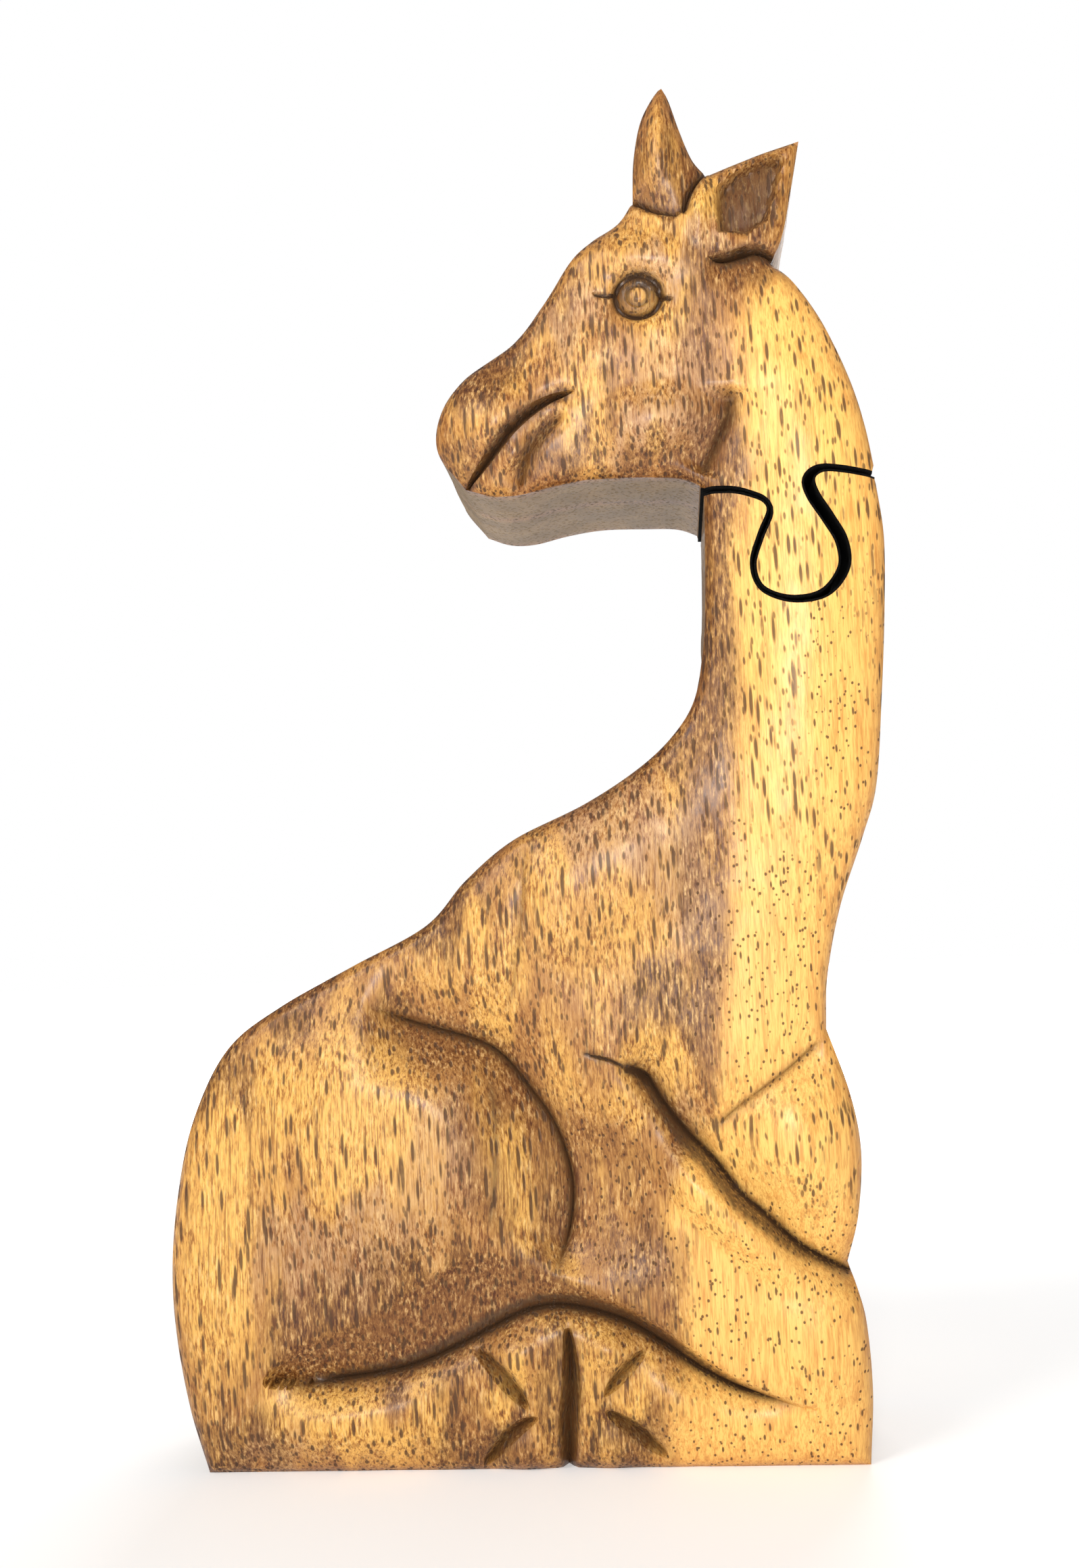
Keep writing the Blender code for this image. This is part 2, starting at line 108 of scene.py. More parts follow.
# Carved creases: points, V groove (depth, half-width), fall of the wood towards the crease (depth,
# reach on the left, reach on the right of its direction), and how dark the stain and painted shade in
# it are.
CREASES = {
    "thigh": ([(-25.5, 66.9), (-21.8, 65.4), (-18.1, 63.8), (-8.9, 60.9), (-4.6, 58.3), (-0.4, 52.9),
               (2.4, 48.6), (4.1, 43.8), (4.8, 39.1), (4.3, 34.4), (3.1, 30.2), (1.0, 25.5)],
              (0.45, 0.5), (4.2, 13.0, 15.0), 0.7),
    "legs": ([(-40.5, 13.2), (-35.6, 12.7), (-29.8, 13.1), (-20.0, 14.6), (-12.2, 17.6),
              (-5.0, 21.2), (-1.4, 22.5), (2.0, 22.9), (6.6, 22.2), (11.9, 20.4), (17.1, 17.2),
              (21.0, 14.4), (26.1, 11.5), (32.5, 9.4), (38.2, 8.2)],
             (0.5, 0.6), (3.2, 0.6, 5.0), 1.0),
    "foreleg": ([(11.1, 57.4), (15.7, 55.2), (18.4, 51.1), (21.6, 46.8), (25.2, 42.9), (28.7, 38.2),
                 (32.3, 34.9), (36.8, 30.6), (43.4, 26.6)],
                (0.5, 0.6), (3.1, 10.0, 3.8), 0.85),
    "foreleg_tail": ([(6.8, 58.8), (8.2, 58.2), (11.1, 57.4), (13.4, 56.0)],
                     (0.4, 0.35), (0.0, 1.0, 1.0), 0.9),
    "foreleg_notch": ([(12.6, 56.4), (14.2, 55.9), (15.6, 54.7), (16.2, 53.0)],
                      (1.0, 0.8), (0.0, 1.0, 1.0), 0.9),
    "breast": ([(42.0, 59.9), (36.6, 55.7), (32.2, 52.6), (27.8, 49.4), (24.9, 46.6)],
               (0.25, 0.45), (1.1, 5.0, 8.0), 0.45),
    "hip": ([(-0.3, 89.5), (-0.5, 84.1), (-1.4, 74.4), (-2.6, 68.0), (-4.3, 64.1)],
            (0.08, 0.4), (0.5, 5.0, 3.5), 0.3),
    "growth_line": ([(-6.6, 56.0), (-5.9, 50.3), (-5.7, 45.5), (-6.2, 39.9), (-7.3, 33.3)],
                    (0.06, 0.4), (0.0, 1.0, 1.0), 0.4),
    "hoof_a": ([(-10.4, 17.6), (-7.3, 15.2), (-4.7, 12.0), (-2.3, 8.6)],
               (1.5, 1.35), (0.3, 3.0, 3.0), 0.5),
    "hoof_b": ([(3.4, 21.6), (3.7, 13.0), (3.0, 6.0), (2.5, -4.0)],
               (2.1, 1.5), (0.5, 4.0, 4.0), 0.55),
    "hoof_c": ([(14.6, 17.0), (11.4, 14.3), (8.2, 10.6)],
               (1.3, 1.1), (0.3, 3.0, 3.0), 0.5),
    "hoof_d": ([(-1.0, 8.0), (-5.2, 5.5), (-9.6, 0.6)],
               (1.3, 1.2), (0.3, 3.0, 3.0), 0.5),
    "hoof_e": ([(8.2, 8.7), (12.3, 5.9), (17.0, 1.6)],
               (1.4, 1.3), (0.3, 3.0, 3.0), 0.5),
    "mouth": ([(10.4, 156.2), (6.4, 155.2), (3.2, 153.5), (0.0, 150.8), (-2.7, 147.7),
               (-6.3, 143.7), (-7.6, 142.2)],
              (1.3, 0.95), (0.9, 3.0, 2.5), 0.85),
    "lip": ([(8.4, 153.2), (4.7, 150.0), (2.2, 146.4), (0.5, 141.5)],
            (0.5, 1.3), (1.0, 2.5, 5.0), 0.4),
    "jaw": ([(32.9, 155.4), (32.1, 150.9), (30.1, 146.8), (27.6, 142.2)],
            (0.4, 0.9), (2.2, 5.0, 8.0), 0.55),
    "far_ear_root": ([(19.1, 185.9), (21.2, 184.4), (23.2, 183.2), (26.8, 182.1)],
                     (0.6, 0.6), (1.3, 8.0, 1.2), 0.75),
    "forelock": ([(27.0, 181.9), (27.6, 184.5), (28.9, 187.1), (30.9, 189.6)],
                 (0.7, 0.6), (1.3, 4.5, 0.8), 0.8),
    "near_ear_root": ([(30.2, 175.2), (32.6, 175.0), (35.2, 175.7), (37.6, 176.3), (40.4, 175.2)],
                      (1.1, 0.8), (1.3, 1.3, 6.0), 0.9),
    "eye_front": ([(12.8, 170.8), (15.1, 170.2), (17.0, 171.1)],
                  (0.4, 0.35), (0.1, 1.5, 1.5), 0.9),
    "eye_back": ([(22.2, 171.2), (23.4, 169.6), (25.0, 168.9)],
                 (0.5, 0.45), (0.1, 1.5, 1.5), 0.9),
}
CREASE_FADE = 0.14       # share of a crease's length over which its ends run out
SHARP_ENDS = ("hoof_b", "mouth", "forelock", "near_ear_root", "foreleg")
LEAF_SHAPED = ("hoof_a", "hoof_b", "hoof_c", "hoof_d", "hoof_e", "mouth", "lip", "near_ear_root")
# Creases beside which painted shade darkens the wood: width on the left and on the right
SHADED_SIDES = {"thigh": (1.6, 4.5), "legs": (3.0, 1.2), "foreleg": (1.5, 2.6), "jaw": (3.0, 4.0),
              "near_ear_root": (1.0, 5.0), "far_ear_root": (3.0, 0.8), "hoof_b": (1.5, 1.5),
              "mouth": (1.2, 1.0), "forelock": (2.5, 0.6), "breast": (1.0, 0.6)}
# Steep walls darkened with painted shade: side (+1 left), width and how dark
SHADED_WALLS = {"foreleg": (-1, 2.0, 0.6), "thigh": (-1, 0.9, 0.5), "legs": (1, 1.9, 0.6),
              "near_ear_root": (-1, 1.8, 0.6), "jaw": (1, 1.2, 0.4)}
# Scoop above the hind leg's crease, from its upper edge: it is long at the left and a steep wall
# at the right
SCOOP_TOP = [(-40.4, 13.9), (-37.6, 17.0), (-33.0, 19.6), (-27.0, 21.4), (-21.0, 25.0), (-14.5, 29.0),
             (-7.5, 31.0), (-1.0, 30.0), (5.0, 26.6), (11.0, 23.8), (17.0, 20.0), (22.0, 16.4),
             (27.0, 13.0), (33.0, 10.2), (38.4, 8.4)]
SCOOP_DEPTH = 3.2
SCOOP_SLOPE = 1.6

# Broad rises and hollows of the carved face: centre, radii, turn in degrees, rise
SWELLS = [
    ((-21, 46), (23, 24), 25, 3.8),           # haunch
    ((8, 84), (24, 15), 28, 1.9),             # shoulder
    ((41.5, 112), (12, 48), -4, 1.5),         # neck
    ((43, 152), (9, 22), 20, 1),              # nape
    ((21, 150.5), (11, 6.5), 8, 1.7),         # cheek
    ((-3, 153), (9, 8), 35, 1.3),             # muzzle
    ((0.6, 146.9), (1.8, 4.2), -48, 0.9),     # lower lip
    ((19, 176.5), (12, 4.5), -10, 1),         # brow
    ((19.7, 170), (7.5, 6), 0, -1),           # eye socket
    ((9, 165.5), (9, 4), 40, -0.5),           # hollow beside the nose
    ((37.5, 45), (9.5, 12), 15, 1.9),         # breast
    ((26.5, 35.5), (18, 4.6), -43, 2.8),      # foreleg
    ((12, 40), (10, 15), 10, -2),             # belly
    ((39.5, 16), (9.5, 12), 0, 1.4),          # knee
    ((-31, 6.5), (20, 6.5), 0, 1.6),          # hind foot
    ((-3.5, 16), (5, 4.5), -30, 1),           # hooves
    ((9, 17), (4, 3.5), 0, 1),
    ((-3.5, 2.5), (5.5, 4), 0, 0.9),
    ((9, 3), (5, 4), 0, 0.9),
    ((18, 8.5), (7, 6), -30, 1),
    ((29.6, 183), (2, 7), -8, 1.3),           # lock between the ears
    ((23.4, 193), (2.8, 9), -6, 1.2),         # middle of the far ear
]
BASE_DEPTH = 2.5         # the face's general level behind the foremost plane
EDGE_DROP = 2.0
EDGE_REACH = 12.0
EDGE_ROUND = (0.8, 1.6)  # last rounding at the outline: drop, reach
FEET_SETBACK = 1.4
FEET_TOP = 22.0
BACK_ROUND = (1.2, 2.0)
HAND_CARVED = 0.14       # unevenness left by the knife
WALL_ROWS = 14
WALL_START = 0.7         # first row of the side wall behind the carved face's rim
WALL_UNEVEN = 0.22
TRUE_AT_CUT = 1.6        # the wall stays true this near to the saw cut
TRUE_AT_BASE = 0.5       # and this near to the base, and becomes uneven over the next few mm
WALL_EASE = 3.0
SPLIT_ARRIS = (0.3, 0.8)  # broken edge of the joint faces: drop, reach
CLEARANCE = 0.45         # free space round a line of points, as a share of DETAIL
SHARP_ANGLE = 42
EAR_HOLLOW = [(32.0, 186.8), (35.2, 189.4), (39.2, 191.1), (43.1, 191.4), (41.3, 185.0),
              (39.6, 180.6), (36.2, 178.2), (31.8, 178.8), (31.6, 183.4)]
EAR_HOLLOW_DEPTH = 2.4
SOFT_TOP = 0.5           # how softly the highest wood levels out below the foremost plane
EYE = (19.7, 170.0)
EYE_RADIUS = 3.4
PUPIL_RADIUS = 1.25
EYE_RINGS = (0.5, 1.0, 1.3, 1.6, 2.0, 2.5, 2.9, 3.2, 3.5, 3.9, 4.4)

# Compartment and peg holes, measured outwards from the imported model's linings and pegs
POCKET_SEGMENTS = 96
LINING_GAP = 0.1
PEG_HOLE_SEGMENTS = 40
PEG_HOLE_CLEARANCE = 0.3
PEG_HOLE_SPARE = 0.5

# Flock in the saw cut: gap to the wood, thickness, rows, and how uneven its face and front edge are
PILE_GAP = 0.02
PILE = 0.33
PILE_ROWS = 26
PILE_FUZZ = 0.12
PILE_LIFT = 0.18
PILE_INSET = 0.6         # it stops this far short of the back
PILE_SPLIT_GAP = 0.05    # and this far short of the plane that parts the halves

# Colours, as linear values
SAPWOOD = (0.86, 0.50, 0.130)
SAP_BAND = (0.74, 0.38, 0.090)
GOLD = (0.72, 0.400, 0.092)
TAN = (0.40, 0.186, 0.048)
UMBER = (0.135, 0.050, 0.011)
SHADE_BROWN = (0.225, 0.092, 0.026)
PLUM = (0.42, 0.240, 0.122)
PALE = (0.90, 0.60, 0.25)
GROOVE = (0.050, 0.024, 0.010)
WALL_GREY = (0.28, 0.207, 0.098)
WALL_PALE = (0.38, 0.283, 0.140)
PORE = (0.060, 0.024, 0.008)

# How the colours change behind the carved face, how grey the sawn wood is, and painted shade along
# the rim of the face and under the jaw
FACE_REACH = 0.4         # the face's colours reach this far back, then fade
FACE_FADE = 0.8
# painted shade darkens the face towards the outline over this reach
RIM_SHADE_REACH = 5.0
SIDE_GREY = 0.46
JAW_SHADE_GREY = 0.44          # more of it under the jaw as painted shade, within these limits
JAW_RIGHT = 28.0
JAW_LOW = 137.0
JAW_HIGH = 150.0
SPLIT_GREY = 0.35
SPLIT_NEAR = 0.35
BACK_GREY = 0.22

# Border between the brown heartwood and the yellow sapwood, from the nape down to the base
HEART_EDGE = [(44.0, 181.0), (41.0, 176.0), (38.4, 172.2), (36.6, 165.1), (35.8, 157.9), (33.6, 152.0),
              (35.4, 142.7), (33.6, 135.8), (32.7, 126.8), (31.9, 116.9), (31.8, 107.0),
              (31.2, 96.2), (31.0, 84.9), (28.8, 73.8), (27.4, 62.8), (27.2, 54.1), (25.0, 45.7),
              (21.0, 41.1), (19.6, 35.5), (20.3, 29.0), (20.0, 20.6), (20.0, 11.5), (17.0, 6.0),
              (16.0, 0.0)]

# Patches of colour: centre, radii, turn in degrees, strength. The umber patches are partly dark
# heartwood and partly painted shade, as along the rump's upper edge, on the haunch's lower part
# and under the near ear.
PATCHES = {
    "gold": [
        ((-47.5, 37), (9, 26), 0, 1.0), ((-30, 52), (20, 13), -10, 0.9),
        ((-24, 48), (15, 13), 0, 0.85), ((-3, 41), (3.2, 13), 5, 0.9),
        ((-12, 75), (10, 6.5), 30, 0.6), ((-5.5, 69), (4, 12), -8, 0.8),
        ((4, 84), (13, 7), 30, 0.35), ((8, 72), (8, 12), 0, 0.45), ((-31, 7.5), (17, 6.5), 0, 1.0),
        ((-6, 11.5), (6, 4), -45, 0.9), ((8.5, 16.5), (5, 5), 0, 0.6), ((13, 10), (5, 4), 0, 0.7),
        ((17, 54), (4, 8), -40, 0.8), ((23, 43), (5, 12), -35, 0.9), ((12, 174), (7, 9), -38, 0.45),
        ((21, 181.5), (8, 3.5), -10, 0.4), ((-6, 153), (4, 4), 0, 0.35),
        ((5, 160), (9, 3), 32, 0.5), ((29.6, 182), (1.9, 7.5), -8, 0.9),
        ((22.4, 194), (1.8, 8), -5, 0.5),
    ],
    "umber_and_shade": [
        ((-8, 44), (5, 15), 12, 0.5), ((-47, 58), (8, 6), 50, 0.9), ((-36, 69), (14, 4.5), 27, 0.8),
        ((-14, 79.5), (11, 5.5), 38, 1.0), ((-15, 61.5), (13, 3.6), -18, 0.8),
        ((-4, 54.5), (7, 3.5), -48, 0.7), ((14, 101), (18, 5.5), 32, 0.85),
        ((-1, 92), (9, 4), 25, 0.55), ((-22, 22.5), (22, 8.5), 16, 1.0),
        ((-35, 15.5), (7.5, 3.2), 12, 1.0), ((-3, 28.5), (9, 6), 40, 0.9),
        ((1.5, 40), (2.4, 12), 0, 0.75), ((14, 30), (9, 9), 0, 0.55),
        ((13.5, 27), (2.4, 9), 8, 0.9), ((9, 44), (7, 7), 0, 0.45), ((20, 66), (7, 8), -20, 0.9),
        ((25, 70), (4, 17), 0, 0.75), ((25.5, 86), (4.5, 12), 0, 0.5),
        ((28.5, 122), (5.6, 30), 0, 1.0), ((27, 101), (5, 12), -10, 0.8),
        ((-46, 4), (10, 7), 0, 0.9), ((-9.5, 4), (10, 5), 0, 0.95), ((10, 4), (10, 5), 0, 0.9),
        ((2.8, 11), (3, 11), 0, 0.8), ((-13, 12.5), (4, 4), 0, 0.6),
        ((-2.4, 161), (11, 6.5), 33, 1.0), ((-9, 146.5), (4.5, 4.5), 0, 0.7),
        ((6, 147), (8, 4.5), 10, 0.8), ((21, 145), (14, 3), 0, 0.75), ((29, 148), (5, 9), 15, 0.9),
        ((34, 172.5), (8, 4), -10, 0.9), ((37, 184.5), (6, 6.5), 20, 0.95),
        ((25.5, 187.5), (3, 7), 0, 0.75), ((20.5, 192), (1.6, 9), 0, 0.6),
        ((28, 165), (6, 9), 0, 0.55), ((7, 170), (4, 8), -30, 0.45), ((15, 160), (2, 9), 0, 0.6),
    ],
    "plum": [
        ((13, 92), (11, 8), 0, 0.75), ((22, 84), (6, 12), 0, 0.75),
        ((-27, 31.5), (16, 6.5), 12, 0.85), ((-14, 44), (8, 13), 0, 0.6),
        ((25, 175), (9, 4), 15, 0.85), ((10, 166), (5, 6), -20, 0.8), ((25, 158), (8, 8), 0, 0.6),
        ((22, 150.5), (9, 3.5), 5, 0.9), ((37, 185), (4, 4), 20, 0.6), ((-40, 3), (9, 4), 0, 0.6),
        ((21.5, 47), (4, 6), -30, 0.5),
    ],
}
# Where the grain runs out through the face, so that its pores show as dots instead of dashes
RUN_OUT = [((33, 70), (14, 24)), ((35, 20), (18, 24)), ((12, 38), (12, 24)),
           ((46, 108), (8, 22)), ((30, 4), (22, 8)), ((38, 56), (9, 6))]

# Camera, matched to the photo's view for an assumed size: its place and focal length are a guess
CAMERA_AT_M = (0.02116, -0.25658, 0.07429)
CAMERA_TURN = (95.509, 2.089, 4.675)
CAMERA_LENS_MM = 38.19
BRIGHT_FLOOR_M = (0.10, 0.80)   # the floor brightens towards the horizon between these distances
FLOOR_GLOW = 0.26
WORLD_LEVEL = 0.34       # strength of the surrounding light; the camera itself sees it white


# Curves in the plane of the board

def smooth_curve(points, step):
    """Points about a step apart on a smooth curve through the given points."""
    pts = np.array(points, dtype=float)
    if len(pts) < 3:
        count = max(2, int(round(np.linalg.norm(pts[1] - pts[0]) / step)) + 1)
        return np.linspace(pts[0], pts[1], count)
    padded = np.vstack([2 * pts[0] - pts[1], pts, 2 * pts[-1] - pts[-2]])
    curve = []
    for i in range(len(pts) - 1):
        p0, p1, p2, p3 = padded[i:i + 4]
        count = max(1, int(round(np.linalg.norm(p2 - p1) / step)))
        for t in np.arange(count) / count:
            curve.append(0.5 * (2 * p1 + (p2 - p0) * t + (2 * p0 - 5 * p1 + 4 * p2 - p3) * t ** 2
                                + (3 * p1 - p0 - 3 * p2 + p3) * t ** 3))
    curve.append(pts[-1])
    return np.array(curve)


def closed(outline):
    """The outline with its first point repeated at its end."""
    return np.vstack([outline, outline[:1]])


def left_of(curve):
    """Unit vectors to the left of the curve's direction, one at each point."""
    along = np.gradient(curve, axis=0)
    along /= np.linalg.norm(along, axis=1, keepdims=True)
    return np.column_stack([-along[:, 1], along[:, 0]])


def offset_curve(curve, distance):
    """The curve moved sideways, to the left of its direction when distance is positive."""
    return curve + left_of(curve) * distance


def oval(centre, radii, segments):
    turns = np.arange(segments) * 2 * math.pi / segments
    return np.column_stack([centre[0] + radii[0] * np.cos(turns),
                            centre[1] + radii[1] * np.sin(turns)])


def join_stretches(stretches):
    """One closed outline from stretches that follow each other, without the doubled corners."""
    points = []
    for stretch in stretches:
        for point in stretch:
            if not points or np.linalg.norm(point - points[-1]) > 1e-3:
                points.append(point)
    if np.linalg.norm(points[0] - points[-1]) < 1e-3:
        points.pop()
    return np.array(points)


def cut_curve(side):
    """A face of the saw cut: side -1 is the socket's in the body, +1 is the lobe's on the head."""
    curve = offset_curve(smooth_curve(CUT, DETAIL * 0.8), side * KERF / 2)
    if side > 0:
        curve = curve + np.array(HEAD_REST)
    return curve


def body_outline():
    stretches = [smooth_curve(points, DETAIL) for points in BODY_STRETCHES]
    socket = cut_curve(-1)[::-1]
    stretches[0][0] = socket[-1]
    stretches[-1][-1] = socket[0]
    return join_stretches(stretches + [socket])


def head_outline():
    stretches = [smooth_curve(points, DETAIL) for points in HEAD_STRETCHES]
    lobe = cut_curve(1)
    stretches[0][0] = lobe[-1]
    stretches[-1][-1] = lobe[0]
    return join_stretches([lobe] + stretches)


def silhouette():
    """The outline of the whole giraffe, without the saw cut, closed."""
    stretches = BODY_STRETCHES + HEAD_STRETCHES
    return closed(join_stretches([smooth_curve(points, 1.2) for points in stretches]))


def nearest_on_line(points, line):
    """Distance to a line, the side (+1 is left of its direction) and the share of its length."""
    lengths = np.linalg.norm(np.diff(line, axis=0), axis=1)
    starts = np.concatenate([[0.0], np.cumsum(lengths)])
    best = np.full(len(points), np.inf)
    side = np.ones(len(points))
    share = np.zeros(len(points))
    for i, (a, b) in enumerate(zip(line[:-1], line[1:])):
        ab = b - a
        t = np.clip(((points - a) @ ab) / (ab @ ab), 0.0, 1.0)
        away = points - (a + t[:, None] * ab)
        distance = np.linalg.norm(away, axis=1)
        closer = distance < best
        turn = ab[0] * away[:, 1] - ab[1] * away[:, 0]
        side[closer] = np.where(turn[closer] >= 0, 1.0, -1.0)
        share[closer] = (starts[i] + t[closer] * lengths[i]) / starts[-1]
        best = np.minimum(best, distance)
    return best, side, share


def inside_outline(points, outline):
    """True for each point inside the outline, by counting the edges to its right."""
    inside = np.zeros(len(points), dtype=bool)
    for a, b in zip(outline, np.roll(outline, -1, axis=0)):
        crosses = (a[1] > points[:, 1]) != (b[1] > points[:, 1])
        rise = b[1] - a[1] if b[1] != a[1] else 1.0
        x_at = a[0] + (points[:, 1] - a[1]) / rise * (b[0] - a[0])
        inside ^= crosses & (points[:, 0] < x_at)
    return inside


# Height of the carved face

def shoulder(distance, reach):
    """1 at a line, rising in a round shoulder to 0 at the reach."""
    return (1.0 - np.clip(distance / reach, 0.0, 1.0)) ** 2


def smooth_step(value):
    value = np.clip(value, 0.0, 1.0)
    return value * value * (3.0 - 2.0 * value)


def swell(points, centre, radii, turn):
    """1 in the middle of a turned oval, falling smoothly to 0 at its rim."""
    angle = math.radians(turn)
    dx = points[:, 0] - centre[0]
    dz = points[:, 1] - centre[1]
    u = (dx * math.cos(angle) + dz * math.sin(angle)) / radii[0]
    v = (-dx * math.sin(angle) + dz * math.cos(angle)) / radii[1]
    return np.clip(1.0 - u * u - v * v, 0.0, 1.0) ** 2


def groove_width(name, share):
    """Half-width of a crease's groove at a share of its length."""
    half_width = CREASES[name][1][1]
    if name in LEAF_SHAPED:
        return half_width * np.maximum(np.sin(math.pi * np.clip(share, 0.02, 0.98)) ** 0.6, 0.05)
    return half_width * np.ones_like(share)


def crease_shape(points, name):
    """Depth of one crease, and how dark its stain and painted shade are, at each point."""
    control, (groove_depth, _), (fall, left_reach, right_reach), dark = CREASES[name]
    distance, side, share = nearest_on_line(points, smooth_curve(control, 1.0))
    fade = smooth_step(share / CREASE_FADE)
    if name not in SHARP_ENDS:
        fade = fade * smooth_step((1.0 - share) / CREASE_FADE)
    reach = np.where(side > 0, left_reach, right_reach)
    across = distance / groove_width(name, share)
    groove = groove_depth * np.clip(1.0 - across, 0.0, 1.0)
    depth = (groove + fall * shoulder(distance, reach)) * fade
    stain_and_shade = dark * fade * smooth_step((1.25 - across) / 0.6)
    # painted shade on the crease's steep wall, which faces away from the light
    if name in SHADED_WALLS:
        wall_side, width, wall_shade = SHADED_WALLS[name]
        width = width * np.sin(math.pi * np.clip(share, 0.03, 0.97)) ** 0.5
        wall = smooth_step((width - distance) / 0.5 + 0.5) * (side == wall_side)
        stain_and_shade = np.maximum(stain_and_shade, wall_shade * fade * wall)
    shade = np.zeros(len(points))
    # painted shade beside the crease
    if name in SHADED_SIDES:
        width = np.where(side > 0, SHADED_SIDES[name][0], SHADED_SIDES[name][1])
        shade = fade * np.exp(-(distance / width) ** 2)
    return depth, stain_and_shade, shade


def scoop_shape(points):
    """Depth and shade of the scoop between its upper edge and the hind leg's crease."""
    top = smooth_curve(SCOOP_TOP, 1.0)
    bottom = smooth_curve(CREASES["legs"][0], 1.0)
    from_top, _, _ = nearest_on_line(points, top)
    from_bottom, _, _ = nearest_on_line(points, bottom)
    width = from_top + from_bottom
    level = np.minimum(SCOOP_DEPTH, SCOOP_SLOPE * width)
    within = inside_outline(points, np.vstack([top, bottom[::-1]]))
    return level * from_top / (width + 1e-6) * within, smooth_step(from_top / 1.2) * within


def eye_shape(points):
    """Ring, eyeball and pupil of the eye: depth, and how dark its stain and painted shade are."""
    dx = points[:, 0] - EYE[0]
    dz = (points[:, 1] - EYE[1]) * 1.04
    radius = np.hypot(dx, dz)
    lid = np.exp(-((radius - EYE_RADIUS) / 0.5) ** 2)
    pupil_ring = np.exp(-((radius - PUPIL_RADIUS - 0.3) / 0.3) ** 2)
    ball = np.clip(1.0 - (radius / EYE_RADIUS) ** 2, 0.0, 1.0)
    depth = 1.0 * lid + 0.35 * pupil_ring - 0.9 * ball
    upper = 0.52 + 0.4 * np.clip(dz / EYE_RADIUS, -0.5, 1.0)
    stain_and_shade = np.maximum(0.95 * lid, np.maximum(0.6 * pupil_ring, upper * (radius < EYE_RADIUS)))
    stain_and_shade[radius < PUPIL_RADIUS] = 0.0
    return depth, stain_and_shade


def carve(points, edge):
    """Depth behind the foremost plane of the carved face at each point, its stain and painted shade in
    the creases, and its painted shade beside them.
    """
    distance, _, _ = nearest_on_line(points, edge)
    depth = BASE_DEPTH + EDGE_DROP * shoulder(distance, EDGE_REACH)
    depth += EDGE_ROUND[0] * shoulder(distance, EDGE_ROUND[1])
    depth += FEET_SETBACK * np.clip(1.0 - points[:, 1] / FEET_TOP, 0.0, 1.0)
    for centre, radii, turn, rise in SWELLS:
        depth -= rise * swell(points, centre, radii, turn)
    falls = []
    stain_and_shade = np.zeros(len(points))
    shade = np.zeros(len(points))
    for name in CREASES:
        crease_depth, crease_stain_and_shade, crease_shade = crease_shape(points, name)
        if name == "legs":
            scoop_depth, scoop_shade = scoop_shape(points)
            crease_depth = np.maximum(crease_depth, scoop_depth)
            crease_shade = np.maximum(crease_shade, scoop_shade)
        falls.append(crease_depth)
        stain_and_shade = np.maximum(stain_and_shade, crease_stain_and_shade)
        shade = np.maximum(shade, crease_shade)
    falls = np.array(falls)
    depth += 0.6 * falls.max(axis=0) + 0.4 * falls.sum(axis=0)
    hollow = np.array(EAR_HOLLOW)
    rim, _, _ = nearest_on_line(points, closed(hollow))
    in_hollow = smooth_step(rim / 1.3) * inside_outline(points, hollow)
    depth += EAR_HOLLOW_DEPTH * in_hollow
    # painted shade and dark stain in the ear's hollow
    stain_and_shade = np.maximum(stain_and_shade, 0.42 * in_hollow)
    shade = np.maximum(shade, 0.9 * in_hollow)
    eye_depth, eye_stain_and_shade = eye_shape(points)
    depth += eye_depth
    stain_and_shade = np.maximum(stain_and_shade, eye_stain_and_shade)
    uneven = [noise.noise(Vector((x * 0.16, z * 0.13, 0.0)))
              + 0.5 * noise.noise(Vector((x * 0.45, z * 0.3, 7.0))) for x, z in points]
    depth += HAND_CARVED * np.array(uneven)
    return 0.5 * (depth + np.sqrt(depth * depth + SOFT_TOP ** 2)), stain_and_shade, shade


# Colour of the wood

def warped(points):
    """The points pushed about, more along the grain than across it, so that patches look grown."""
    moved = points.copy()
    for i, (x, z) in enumerate(points):
        moved[i, 0] += 4.5 * noise.noise(Vector((x * 0.10, z * 0.05, 3.0)))
        moved[i, 1] += 8.0 * noise.noise(Vector((x * 0.30, z * 0.04, 9.0)))
        moved[i, 0] += 1.4 * noise.noise(Vector((x * 0.7, z * 0.12, 5.0)))
    return moved


def tones(points):
    """Share of each colour of the wood at each point."""
    moved = warped(points)
    nearer = 0.6 * moved + 0.4 * points
    distance, side, _ = nearest_on_line(nearer, smooth_curve(HEART_EDGE, 2.0))
    sap = smooth_step(0.5 + 0.5 * side * distance / 3.0)
    ear = smooth_step((points[:, 1] - 172.0) / 4.0)
    sap = sap * (1.0 - ear)
    layers = {"sap": sap}
    for kind, patches in PATCHES.items():
        layers[kind] = np.zeros(len(points))
        for centre, radii, turn, strength in patches:
            patch = strength * np.sqrt(swell(moved, centre, radii, turn))
            layers[kind] = np.maximum(layers[kind], np.clip(patch * 1.5, 0.0, strength))
    run_out = np.zeros(len(points))
    for centre, radii in RUN_OUT:
        run_out = np.maximum(run_out, np.clip(swell(moved, centre, radii, 0) * 4.0, 0.0, 1.0))
    layers["run_out"] = run_out
    return layers


# Solids

